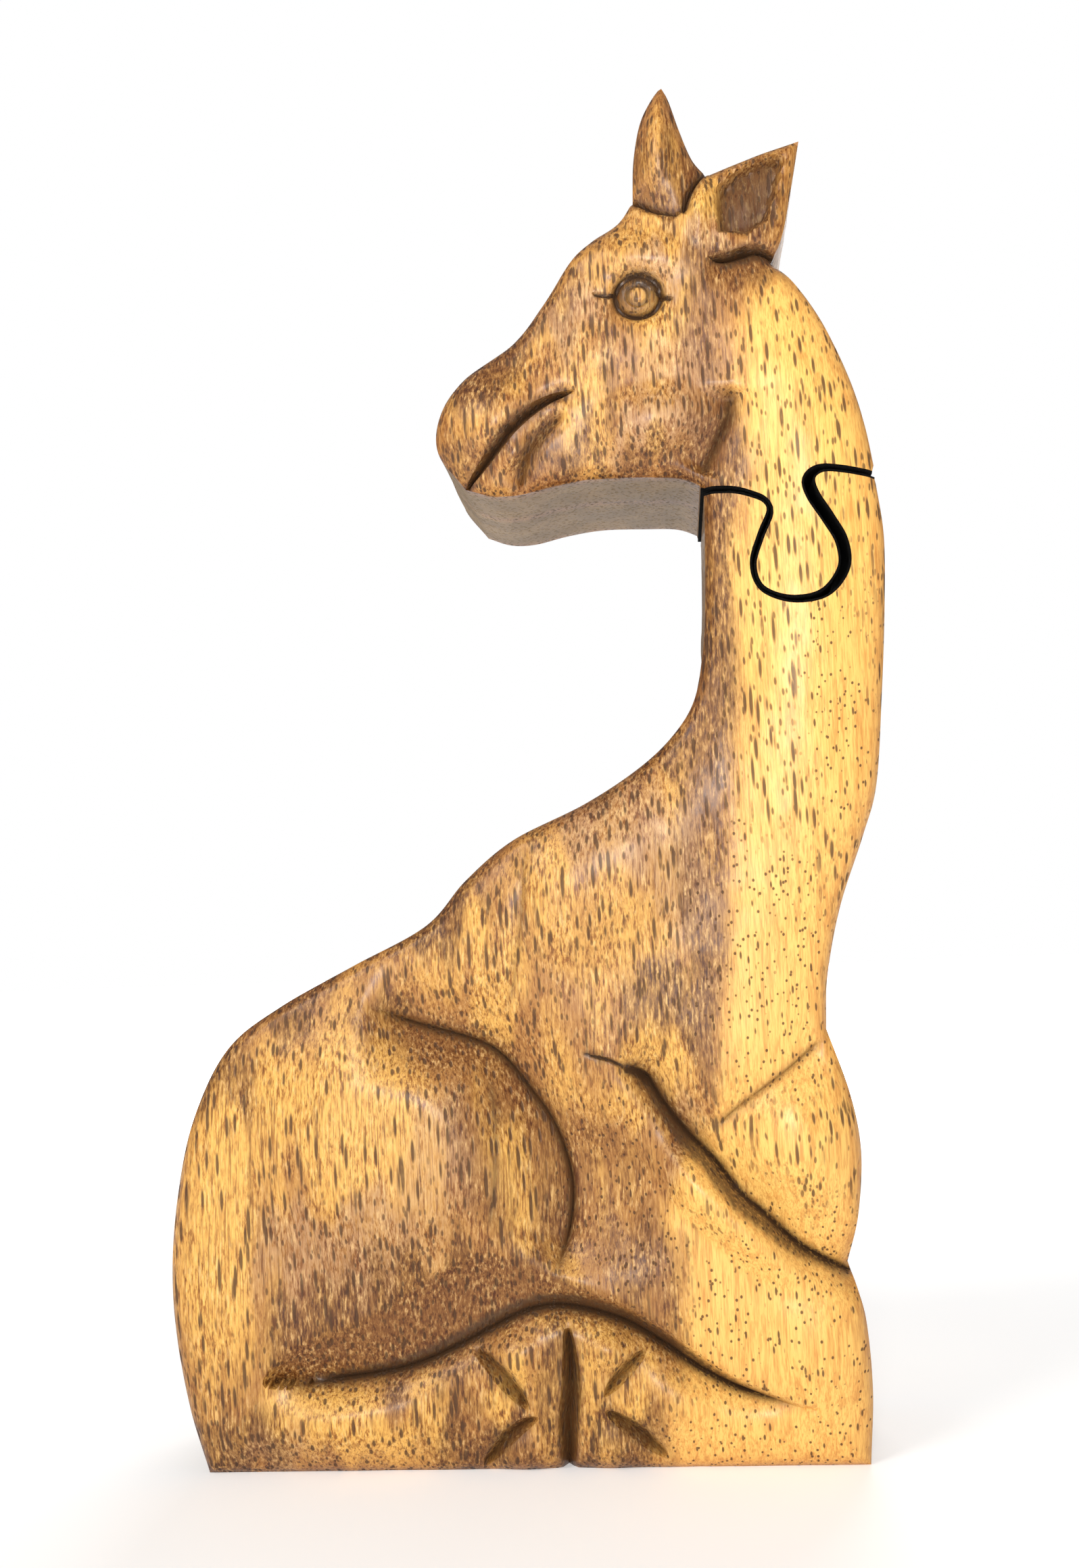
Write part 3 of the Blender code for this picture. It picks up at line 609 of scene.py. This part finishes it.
def fill_points(outline, creases):
    """A triangular grid inside the outline, with points along the creases' bottoms."""
    low = outline.min(axis=0)
    high = outline.max(axis=0)
    rows = []
    row_step = DETAIL * math.sqrt(3) / 2
    for row in range(int((high[1] - low[1]) / row_step) + 1):
        xs = np.arange(low[0] + (DETAIL / 2 if row % 2 else 0.0), high[0], DETAIL)
        rows.append(np.column_stack([xs, np.full(len(xs), low[1] + row * row_step)]))
    grid = np.vstack(rows)
    grid = grid[inside_outline(grid, outline)]
    for bottom in creases:
        clear, _, _ = nearest_on_line(grid, bottom)
        grid = grid[clear > DETAIL * CLEARANCE]
    points = np.vstack([grid] + creases) if creases else grid
    points = points[inside_outline(points, outline)]
    clear, _, _ = nearest_on_line(points, closed(outline))
    return points[clear > DETAIL * CLEARANCE]


def sheet_faces(outline, holes, inner):
    """Points and triangles that fill an outline around its holes."""
    loops = [outline] + holes
    points = np.vstack(loops + [inner])
    edges = []
    start = 0
    for loop in loops:
        count = len(loop)
        edges.extend((start + i, start + (i + 1) % count) for i in range(count))
        start += count
    verts, _, faces, *_ = delaunay_2d_cdt([Vector(p) for p in points], edges, [], 1, 1e-6)
    plane = np.array([(v.x, v.y) for v in verts])
    middles = np.array([plane[list(face)].mean(axis=0) for face in faces])
    keep = np.ones(len(faces), dtype=bool)
    for hole in holes:
        keep &= ~inside_outline(middles, hole)
    return plane, [face for face, kept in zip(faces, keep) if kept]


def add_sheet(bm, plane, faces, height):
    """Put a sheet of triangles into the mesh at the given heights."""
    made = [bm.verts.new((x * MM, y * MM, z * MM)) for (x, z), y in zip(plane, height)]
    for face in faces:
        bm.faces.new([made[i] for i in face])
    for vert in made:
        if not vert.link_faces:
            bm.verts.remove(vert)


def board_block(name, outline, front, back, holes=(), hole_side=None):
    """A board with shaped front and back sheets, joined by walls along the outline.

    front and back each give y at every point of a sheet. holes are (outline, floor y) pairs cut into
    the sheet on hole_side.
    """
    bm = bmesh.new()
    rims = {}
    for side, shape in (("front", front), ("back", back)):
        loops = [hole for hole, _ in holes] if side == hole_side else []
        creases = crease_lines() if side == "front" and shape is carved_height else []
        inner = fill_points(outline, creases)
        for loop in loops:
            clear, _, _ = nearest_on_line(inner, closed(loop))
            inner = inner[clear > DETAIL * CLEARANCE]
        plane, faces = sheet_faces(outline, loops, inner)
        distance, _, _ = nearest_on_line(plane, closed(outline))
        before = set(bm.edges)
        add_sheet(bm, plane, faces, shape(plane, distance))
        rims[side] = [edge for edge in bm.edges if edge not in before and edge.is_boundary]
    for hole, floor_y in holes:
        rim = in_outline_order(rims[hole_side], hole)
        floor = [bm.verts.new((vert.co.x, floor_y * MM, vert.co.z)) for vert in rim]
        join_rings(bm, rim, floor)
        bm.faces.new(floor)
    add_wall(bm, outline, rims["front"], rims["back"])
    bmesh.ops.recalc_face_normals(bm, faces=bm.faces)
    return finish_block(name, bm)


def add_wall(bm, outline, front_rim, back_rim):
    """Join the two sheets along the outline by a sawn and sanded wall, slightly uneven."""
    front = in_outline_order(front_rim, outline)
    back = in_outline_order(back_rim, outline)
    along = np.roll(outline, -1, axis=0) - np.roll(outline, 1, axis=0)
    along /= np.linalg.norm(along, axis=1, keepdims=True)
    outward = np.column_stack([along[:, 1], -along[:, 0]])
    area = np.sum(outline[:, 0] * np.roll(outline[:, 1], -1)
                  - outline[:, 1] * np.roll(outline[:, 0], -1))
    outward *= 1.0 if area > 0 else -1.0
    from_cut, _, _ = nearest_on_line(outline, smooth_curve(CUT, 1.0))
    free = smooth_step((from_cut - TRUE_AT_CUT) / WALL_EASE)
    free *= smooth_step((outline[:, 1] - TRUE_AT_BASE) / WALL_EASE)
    previous = front
    for row in range(1, WALL_ROWS + 1):
        line = []
        for i, (x, z) in enumerate(outline):
            start = front[i].co.y / MM + WALL_START
            y = start + (back[i].co.y / MM - start) * (row - 1) / WALL_ROWS
            wave = noise.noise(Vector((x * 0.11, y * 0.13, z * 0.11)))
            wave += 0.4 * noise.noise(Vector((x * 0.5, y * 0.12, z * 0.5)))
            push = WALL_UNEVEN * free[i] * wave * min(1.0, (row - 1) / 2.0)
            spot = np.array([x, z]) + outward[i] * push
            line.append(bm.verts.new((spot[0] * MM, y * MM, spot[1] * MM)))
        join_rings(bm, previous, line)
        previous = line
    join_rings(bm, previous, back)


def in_outline_order(rim, outline):
    """The rim's point nearest to each point of the outline, in the outline's order."""
    points = list({vert for edge in rim for vert in edge.verts})
    tree = kdtree.KDTree(len(points))
    for i, vert in enumerate(points):
        tree.insert((vert.co.x, 0.0, vert.co.z), i)
    tree.balance()
    return [points[tree.find((x * MM, 0.0, z * MM))[1]] for x, z in outline]


def join_rings(bm, first, second):
    for i in range(len(first)):
        after = (i + 1) % len(first)
        bm.faces.new([first[i], first[after], second[after], second[i]])


def crease_lines():
    """Lines of points that draw the creases: their bottoms, their lips and the rings of the eye."""
    lines = []
    for name in CREASES:
        bottom = smooth_curve(CREASES[name][0], DETAIL * 0.7)
        lines.append(bottom)
        share = np.linspace(0.0, 1.0, len(bottom))
        for lip in (-1.0, 1.0):
            moved = bottom + left_of(bottom) * (lip * groove_width(name, share))[:, None]
            lines.append(moved[np.linalg.norm(moved - bottom, axis=1) > 0.25])
    for radius in EYE_RINGS:
        lines.append(oval(EYE, (radius, radius), max(6, int(radius * 16))))
    return [line for line in lines if len(line) > 1]


def carved_height(plane, distance):
    depth, _, _ = carve(plane, SILHOUETTE)
    return FRONT_Y + depth


def back_height(plane, distance):
    return BACK_Y - BACK_ROUND[0] * shoulder(distance, BACK_ROUND[1])


def split_height(y, side):
    """A flat joint face whose outer arris is just broken, which draws the seam on the sides."""
    def height(plane, distance):
        return y + side * SPLIT_ARRIS[0] * shoulder(distance, SPLIT_ARRIS[1])
    return height


def make_thing(name, bm):
    """A smooth-shaded object of the mesh, in the scene."""
    mesh = bpy.data.meshes.new(name)
    bm.to_mesh(mesh)
    bm.free()
    mesh.shade_smooth()
    thing = bpy.data.objects.new(name, mesh)
    bpy.context.collection.objects.link(thing)
    return thing


def finish_block(name, bm):
    """Make the object, with the wood's colours, its stain and its painted shade written on its points.
    """
    thing = make_thing(name, bm)
    mesh = thing.data
    mesh.set_sharp_from_angle(angle=math.radians(SHARP_ANGLE))
    co = np.zeros(len(mesh.vertices) * 3)
    mesh.vertices.foreach_get("co", co)
    co = co.reshape(-1, 3) / MM
    plane = co[:, [0, 2]]
    layers = tones(plane)
    depth, stain_and_shade, shade = carve(plane, SILHOUETTE)
    behind = co[:, 1] - FRONT_Y - depth
    on_face = smooth_step(1.0 - (behind - FACE_REACH) / FACE_FADE)
    layers["stain_and_shade"] = stain_and_shade * on_face
    layers["shade"] = shade * on_face
    edge_distance, _, _ = nearest_on_line(plane, SILHOUETTE)
    # painted shade, darker towards the outline where the edge rounds off
    layers["rim"] = shoulder(edge_distance, RIM_SHADE_REACH)
    # greyer under the jaw: painted shade on the wall that faces down
    jaw = smooth_step((JAW_RIGHT - plane[:, 0]) / 3.0)
    jaw *= smooth_step((plane[:, 1] - JAW_LOW) / 2.0) * smooth_step((JAW_HIGH - plane[:, 1]) / 4.0)
    grey = SIDE_GREY + JAW_SHADE_GREY * jaw
    for split_y in (FRONT_HALF_BACK_Y, BACK_HALF_FRONT_Y):
        grey[np.abs(co[:, 1] - split_y) < SPLIT_NEAR] = SPLIT_GREY
    grey[co[:, 1] > BACK_Y - BACK_ROUND[0] - 0.05] = BACK_GREY
    layers["grey"] = grey * (1.0 - on_face)
    for key, values in layers.items():
        attribute = mesh.attributes.new(key, "FLOAT", "POINT")
        attribute.data.foreach_set("value", values.astype(np.float32))
    return thing


# Materials

class Nodes:
    """A material's node tree, with short calls for the nodes used here."""

    def __init__(self, name):
        self.material = bpy.data.materials.new(name)
        self.material.use_nodes = True
        self.tree = self.material.node_tree
        self.shader = self.tree.nodes["Principled BSDF"]
        self.place = self.tree.nodes.new("ShaderNodeTexCoord").outputs["Object"]

    def put(self, value, socket):
        if isinstance(value, bpy.types.NodeSocket):
            self.tree.links.new(value, socket)
        elif isinstance(value, tuple) and len(value) == 3 and socket.type == "RGBA":
            socket.default_value = (*value, 1.0)
        else:
            socket.default_value = value

    def attribute(self, name):
        node = self.tree.nodes.new("ShaderNodeAttribute")
        node.attribute_name = name
        return node.outputs["Fac"]

    def math(self, operation, a, b, clamp=False):
        node = self.tree.nodes.new("ShaderNodeMath")
        node.operation = operation
        node.use_clamp = clamp
        self.put(a, node.inputs[0])
        self.put(b, node.inputs[1])
        return node.outputs[0]

    def times(self, a, b, clamp=False):
        return self.math("MULTIPLY", a, b, clamp)

    def plus(self, a, b, clamp=False):
        return self.math("ADD", a, b, clamp)

    def stretched(self, cells, turn=(0.0, 0.0, 0.0)):
        """Object coordinates turned, then measured in cells of the given sizes in millimetres."""
        node = self.tree.nodes.new("ShaderNodeMapping")
        node.vector_type = "POINT"
        self.put(self.place, node.inputs["Vector"])
        node.inputs["Rotation"].default_value = [math.radians(angle) for angle in turn]
        scaled = self.tree.nodes.new("ShaderNodeVectorMath")
        scaled.operation = "MULTIPLY"
        self.put(node.outputs[0], scaled.inputs[0])
        scaled.inputs[1].default_value = [1.0 / (MM * cell) for cell in cells]
        return scaled.outputs[0]

    def noise(self, cells, detail=2.0, roughness=0.5, distortion=0.0):
        node = self.tree.nodes.new("ShaderNodeTexNoise")
        self.put(self.stretched(cells), node.inputs["Vector"])
        node.inputs["Scale"].default_value = 1.0
        node.inputs["Detail"].default_value = detail
        node.inputs["Roughness"].default_value = roughness
        node.inputs["Distortion"].default_value = distortion
        return node.outputs[0]

    def pores(self, cells, size, turn=(0.0, 0.0, 0.0)):
        """1 inside the small long hollows of the wood's pores, 0 elsewhere."""
        node = self.tree.nodes.new("ShaderNodeTexVoronoi")
        node.feature = "F1"
        self.put(self.stretched(cells, turn), node.inputs["Vector"])
        node.inputs["Scale"].default_value = 1.0
        node.inputs["Randomness"].default_value = 1.0
        return self.remap(node.outputs["Distance"], size, size * 0.55)

    def remap(self, value, low, high):
        """value from low to high becomes 0 to 1, smoothly and clamped."""
        node = self.tree.nodes.new("ShaderNodeMapRange")
        node.interpolation_type = "SMOOTHSTEP"
        self.put(value, node.inputs["Value"])
        node.inputs["From Min"].default_value = low
        node.inputs["From Max"].default_value = high
        return node.outputs["Result"]

    def mix(self, share, a, b, blend="MIX"):
        node = self.tree.nodes.new("ShaderNodeMix")
        node.data_type = "RGBA"
        node.blend_type = blend
        node.clamp_factor = True
        self.put(share, node.inputs[0])
        self.put(a, node.inputs[6])
        self.put(b, node.inputs[7])
        return node.outputs[2]

    def bump(self, height, strength, distance_mm, normal=None):
        node = self.tree.nodes.new("ShaderNodeBump")
        node.inputs["Strength"].default_value = strength
        node.inputs["Distance"].default_value = distance_mm * MM
        self.put(height, node.inputs["Height"])
        if normal is not None:
            self.put(normal, node.inputs["Normal"])
        return node.outputs[0]

    def glow(self, colour, strength):
        self.shader.inputs["Emission Color"].default_value = (*colour, 1.0)
        self.put(strength, self.shader.inputs["Emission Strength"])

    def done(self, colour, roughness, normal=None):
        self.put(colour, self.shader.inputs["Base Color"])
        self.put(roughness, self.shader.inputs["Roughness"])
        if normal is not None:
            self.put(normal, self.shader.inputs["Normal"])
        return self.material


def carved_wood(name):
    """Waxed carving wood: brown heart, yellow sapwood, dark pores, stain and painted shade in the
    creases, and painted shade beside them, along the rim and under the jaw.
    """
    n = Nodes(name)
    broad = n.noise((6.0, 6.0, 30.0), 3.0, 0.55, 0.4)
    streak = n.noise((0.7, 0.7, 14.0), 3.0, 0.6)
    fibre = n.noise((0.22, 0.22, 3.6), 2.0, 0.6)
    fleck = n.noise((0.42, 0.42, 1.9), 3.0, 0.65)
    line = n.noise((0.30, 0.30, 9.0), 2.0, 0.6)
    cloud = n.noise((3.0, 3.0, 6.0), 3.0, 0.6)
    heart = n.math("SUBTRACT", 1.0, n.attribute("sap"))
    busy = n.times(heart, n.plus(n.remap(cloud, 0.35, 0.62), 0.35))
    colour = n.mix(n.times(n.remap(broad, 0.40, 0.68), 0.75), TAN, GOLD)
    colour = n.mix(n.times(n.attribute("gold"), n.remap(fleck, 0.05, 0.45)), colour, GOLD)
    plum = n.times(n.attribute("plum"), n.remap(fleck, 0.25, 0.58))
    colour = n.mix(n.times(plum, 0.85), colour, PLUM)
    # umber patches, partly dark wood and partly painted shade, deepened by the painted shade beside
    # the creases
    umber_and_shade = n.times(n.attribute("umber_and_shade"), n.remap(cloud, 0.0, 0.40))
    umber_and_shade = n.math("MAXIMUM", umber_and_shade, n.times(n.attribute("shade"), heart))
    umber_and_shade = n.math("MAXIMUM", umber_and_shade, n.times(n.attribute("shade"), 0.45))
    colour = n.mix(n.times(umber_and_shade, n.remap(fleck, 0.95, 0.25)), colour, UMBER)
    colour = n.mix(n.times(n.remap(streak, 0.44, 0.28), 0.6), colour, UMBER)
    # painted shade beside the creases, in the scoop and in the ear's hollow
    colour = n.mix(n.times(n.attribute("shade"), 0.6), colour, SHADE_BROWN)
    sap_colour = n.mix(n.remap(streak, 0.45, 0.62), SAPWOOD, SAP_BAND)
    sap_share = n.times(n.attribute("sap"), n.math("SUBTRACT", 1.0, n.times(umber_and_shade, 0.6)))
    colour = n.mix(sap_share, colour, sap_colour)
    dark_fleck = n.times(n.remap(fleck, 0.50, 0.36), n.plus(busy, 0.12))
    colour = n.mix(n.times(dark_fleck, 0.60), colour, (0.40, 0.24, 0.14), "MULTIPLY")
    lines = n.times(n.remap(line, 0.46, 0.34), n.plus(n.times(heart, 0.62), 0.08))
    colour = n.mix(lines, colour, (0.30, 0.16, 0.08), "MULTIPLY")
    light_fleck = n.times(n.remap(fleck, 0.52, 0.66), n.times(busy, 0.30))
    colour = n.mix(light_fleck, colour, PALE)
    colour = n.mix(n.times(n.remap(fibre, 0.56, 0.38), 0.38), colour, (0.48, 0.29, 0.15), "MULTIPLY")
    long_pores = n.math("MAXIMUM", n.pores((1.0, 1.0, 7.0), 0.31, (0, 1.5, 0)),
                        n.pores((1.5, 1.5, 15.0), 0.23, (0, 1.5, 0)))
    short_pores = n.pores((0.8, 0.8, 3.0), 0.29, (12, 1.5, 0))
    dot_pores = n.math("MAXIMUM", n.pores((1.0, 1.0, 1.5), 0.24, (38, 0, 0)),
                       n.pores((1.0, 1.0, 3.6), 0.21, (0, 1.5, 0)))
    plain = n.math("SUBTRACT", 0.85, n.times(n.attribute("gold"), 0.5))
    long_pores = n.math("MAXIMUM", long_pores, n.times(short_pores, plain))
    pores = n.mix(n.attribute("run_out"), long_pores, dot_pores)
    pores = n.times(pores, n.remap(cloud, 0.14, 0.40))
    colour = n.mix(n.times(pores, 0.86), colour, PORE)
    # grey of the sawn walls, with painted shade under the jaw
    wall = n.attribute("grey")
    grey = n.mix(n.remap(broad, 0.3, 0.7), WALL_GREY, WALL_PALE)
    grey = n.mix(n.times(n.remap(streak, 0.48, 0.32), 0.5), grey, (0.16, 0.11, 0.06))
    colour = n.mix(wall, colour, grey)
    # painted shade towards the outline
    colour = n.mix(n.times(n.attribute("rim"), 0.5), colour, (0.42, 0.24, 0.13), "MULTIPLY")
    # dark stain and painted shade in the creases, the eye and the ear's hollow, broken up by noise
    stain_patchiness = n.plus(n.remap(fleck, 0.2, 0.55), 0.45)
    colour = n.mix(n.times(n.attribute("stain_and_shade"), stain_patchiness, clamp=True), colour, GROOVE)
    roughness = n.plus(n.times(fleck, 0.2), 0.31)
    roughness = n.plus(roughness, n.times(pores, 0.3))
    roughness = n.plus(roughness, n.times(wall, 0.2), clamp=True)
    fine = n.bump(fibre, 0.45, 0.07)
    waves = n.bump(fleck, 0.5, 0.10, fine)
    sunk = n.bump(n.math("SUBTRACT", 1.0, pores), 0.6, 0.12, waves)
    n.shader.inputs["Specular IOR Level"].default_value = 0.32
    n.shader.inputs["Coat Weight"].default_value = 0.10
    n.shader.inputs["Coat Roughness"].default_value = 0.24
    return n.done(colour, roughness, sunk)


def dowel_wood():
    n = Nodes("dowel_wood")
    streak = n.noise((0.5, 12.0, 0.5), 3.0, 0.6)
    colour = n.mix(n.remap(streak, 0.35, 0.65), (0.55, 0.36, 0.17), (0.72, 0.52, 0.29))
    return n.done(colour, 0.6, n.bump(streak, 0.3, 0.1))


def black_flock():
    n = Nodes("black_flock")
    pile = n.noise((0.16, 0.16, 0.16), 3.0, 0.7)
    colour = n.mix(n.remap(pile, 0.4, 0.75), (0.0015, 0.0015, 0.0015), (0.010, 0.009, 0.009))
    n.shader.inputs["Specular IOR Level"].default_value = 0.05
    n.shader.inputs["Sheen Weight"].default_value = 0.01
    return n.done(colour, 1.0, n.bump(pile, 0.9, 0.25))


# Pieces

def box_middle(low, high):
    return (low.x + high.x) / 2 / MM, (low.z + high.z) / 2 / MM


def pocket_outline():
    """The compartment's oval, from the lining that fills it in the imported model."""
    low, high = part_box("lining_back")
    radii = ((high.x - low.x) / 2 / MM + LINING_GAP, (high.z - low.z) / 2 / MM + LINING_GAP)
    return oval(box_middle(low, high), radii, POCKET_SEGMENTS)


def half_holes(side):
    """The compartment and peg holes of one half, as outlines and floor planes."""
    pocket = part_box("lining_back" if side > 0 else "lining_front")
    floor = pocket[1].y / MM + LINING_GAP if side > 0 else pocket[0].y / MM - LINING_GAP
    holes = [(pocket_outline(), floor)]
    for name in ("peg_upper", "peg_lower"):
        low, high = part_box(name)
        radius = (high.x - low.x) / 2 / MM + PEG_HOLE_CLEARANCE
        end = high.y / MM + PEG_HOLE_SPARE if side > 0 else low.y / MM - PEG_HOLE_SPARE
        holes.append((oval(box_middle(low, high), (radius, radius), PEG_HOLE_SEGMENTS), end))
    return holes


def flock_ribbon(name, side, y_front, y_back):
    """Fuzzy flock on one face of the saw cut. y_front None follows the carved face."""
    wood = cut_curve(side)
    near = offset_curve(wood, -side * PILE_GAP)
    depth, _, _ = carve(near, SILHOUETTE)
    front = FRONT_Y + depth + PILE_GAP if y_front is None else np.full(len(near), y_front)
    bm = bmesh.new()
    grids = []
    for layer, thickness in enumerate((0.0, PILE)):
        grid = []
        for row in range(PILE_ROWS):
            share = row / (PILE_ROWS - 1)
            line = []
            curve = offset_curve(wood, -side * (PILE_GAP + thickness))
            for i, (x, z) in enumerate(curve):
                y = front[i] + (y_back - front[i]) * share
                fuzz = noise.noise(Vector((x, y, z)) * 2.1) * (PILE_FUZZ if layer else 0.0)
                lift = noise.noise(Vector((x * 3.0, row, z * 3.0))) * PILE_LIFT if row == 0 else 0.0
                normal = (curve[i] - near[i]) / max(np.linalg.norm(curve[i] - near[i]), 1e-6)
                spot = (curve[i] + normal * fuzz) * MM
                line.append(bm.verts.new((spot[0], (y + lift) * MM, spot[1])))
            grid.append(line)
        grids.append(grid)
    for grid in grids:
        for first, second in zip(grid[:-1], grid[1:]):
            for i in range(len(first) - 1):
                bm.faces.new([first[i], first[i + 1], second[i + 1], second[i]])
    inner, outer = grids
    for row in (0, PILE_ROWS - 1):
        for i in range(len(inner[0]) - 1):
            bm.faces.new([inner[row][i], inner[row][i + 1], outer[row][i + 1], outer[row][i]])
    for i in (0, len(inner[0]) - 1):
        for row in range(PILE_ROWS - 1):
            bm.faces.new([inner[row][i], inner[row + 1][i], outer[row + 1][i], outer[row][i]])
    bmesh.ops.recalc_face_normals(bm, faces=bm.faces)
    return make_thing(name, bm)


def place(piece, body, node, material):
    piece.data.materials.append(material)
    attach(piece, body)
    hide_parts(node)


def dress_node(node, material):
    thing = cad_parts[node]
    thing.data.materials.clear()
    thing.data.materials.append(material)


def make_camera():
    camera = bpy.data.objects.new("camera", bpy.data.cameras.new("camera"))
    camera.location = CAMERA_AT_M
    camera.rotation_euler = [math.radians(angle) for angle in CAMERA_TURN]
    camera.data.lens = CAMERA_LENS_MM
    camera.data.sensor_width = 36.0
    camera.data.clip_start = 0.01
    bpy.context.collection.objects.link(camera)
    bpy.context.scene.camera = camera


def make_stage():
    bpy.ops.mesh.primitive_plane_add(size=8.0, location=(0.0, 0.0, 0.0))
    floor = bpy.context.object
    floor.name = "floor"
    n = Nodes("floor_white")
    grain = n.noise((60.0, 60.0, 60.0), 3.0)
    away = n.tree.nodes.new("ShaderNodeVectorMath")
    away.operation = "LENGTH"
    n.put(n.place, away.inputs[0])
    n.glow((1.0, 1.0, 1.0), n.plus(n.remap(away.outputs["Value"], *BRIGHT_FLOOR_M), FLOOR_GLOW))
    floor.data.materials.append(n.done(n.mix(grain, (0.86, 0.86, 0.86), (0.92, 0.92, 0.92)), 0.7))


def area_light(name, place_m, target_m, size_m, power, colour=(1.0, 1.0, 1.0)):
    data = bpy.data.lights.new(name, "AREA")
    data.shape = "DISK"
    data.size = size_m
    data.energy = power
    data.color = colour
    light = bpy.data.objects.new(name, data)
    light.location = place_m
    aim = Vector(target_m) - Vector(place_m)
    light.rotation_euler = aim.to_track_quat("-Z", "Y").to_euler()
    bpy.context.collection.objects.link(light)


def make_lights():
    middle = (0.0, 0.0, 0.09)
    warm = (1.0, 0.985, 0.96)
    area_light("front", (0.00, -0.85, 0.26), middle, 0.22, 5.2, warm)
    area_light("key", (-0.50, -0.62, 0.62), middle, 0.34, 3.0, warm)
    area_light("back", (0.1, 0.9, 0.6), middle, 0.6, 4.5)
    world = bpy.data.worlds.new("studio")
    bpy.context.scene.world = world
    world.use_nodes = True
    nodes = world.node_tree.nodes
    links = world.node_tree.links
    background = nodes["Background"]
    path = nodes.new("ShaderNodeLightPath")
    level = nodes.new("ShaderNodeMapRange")
    level.inputs["To Min"].default_value = WORLD_LEVEL
    level.inputs["To Max"].default_value = 1.0
    links.new(path.outputs["Is Camera Ray"], level.inputs["Value"])
    links.new(level.outputs["Result"], background.inputs["Strength"])
    background.inputs["Color"].default_value = (1.0, 1.0, 1.0, 1.0)
    bpy.context.scene.view_settings.view_transform = "Standard"


SILHOUETTE = silhouette()

make_camera()
make_stage()
make_lights()

wood = carved_wood("carved_wood")
flock = black_flock()
dowel = dowel_wood()

head = board_block("carved_head", head_outline(), carved_height, back_height)
place(head, "head", "head", wood)

front_half = board_block("carved_front_half", body_outline(), carved_height,
                         split_height(FRONT_HALF_BACK_Y, -1), half_holes(-1), "back")
place(front_half, "front_half", "body_front", wood)

back_half = board_block("sawn_back_half", body_outline(), split_height(BACK_HALF_FRONT_Y, 1),
                        back_height, half_holes(1), "front")
place(back_half, "back_half", "body_back", wood)

lobe = flock_ribbon("lobe_pile", 1, None, BACK_Y - PILE_INSET)
place(lobe, "head", "lobe_flock", flock)
socket_front = flock_ribbon("socket_pile_front", -1, None, FRONT_HALF_BACK_Y - PILE_SPLIT_GAP)
place(socket_front, "front_half", "socket_flock_front", flock)
socket_back = flock_ribbon("socket_pile_back", -1, BACK_HALF_FRONT_Y + PILE_SPLIT_GAP,
                           BACK_Y - PILE_INSET)
place(socket_back, "back_half", "socket_flock_back", flock)

for lining in ("lining_front", "lining_back"):
    dress_node(lining, flock)
for peg in ("peg_upper", "peg_lower"):
    dress_node(peg, dowel)
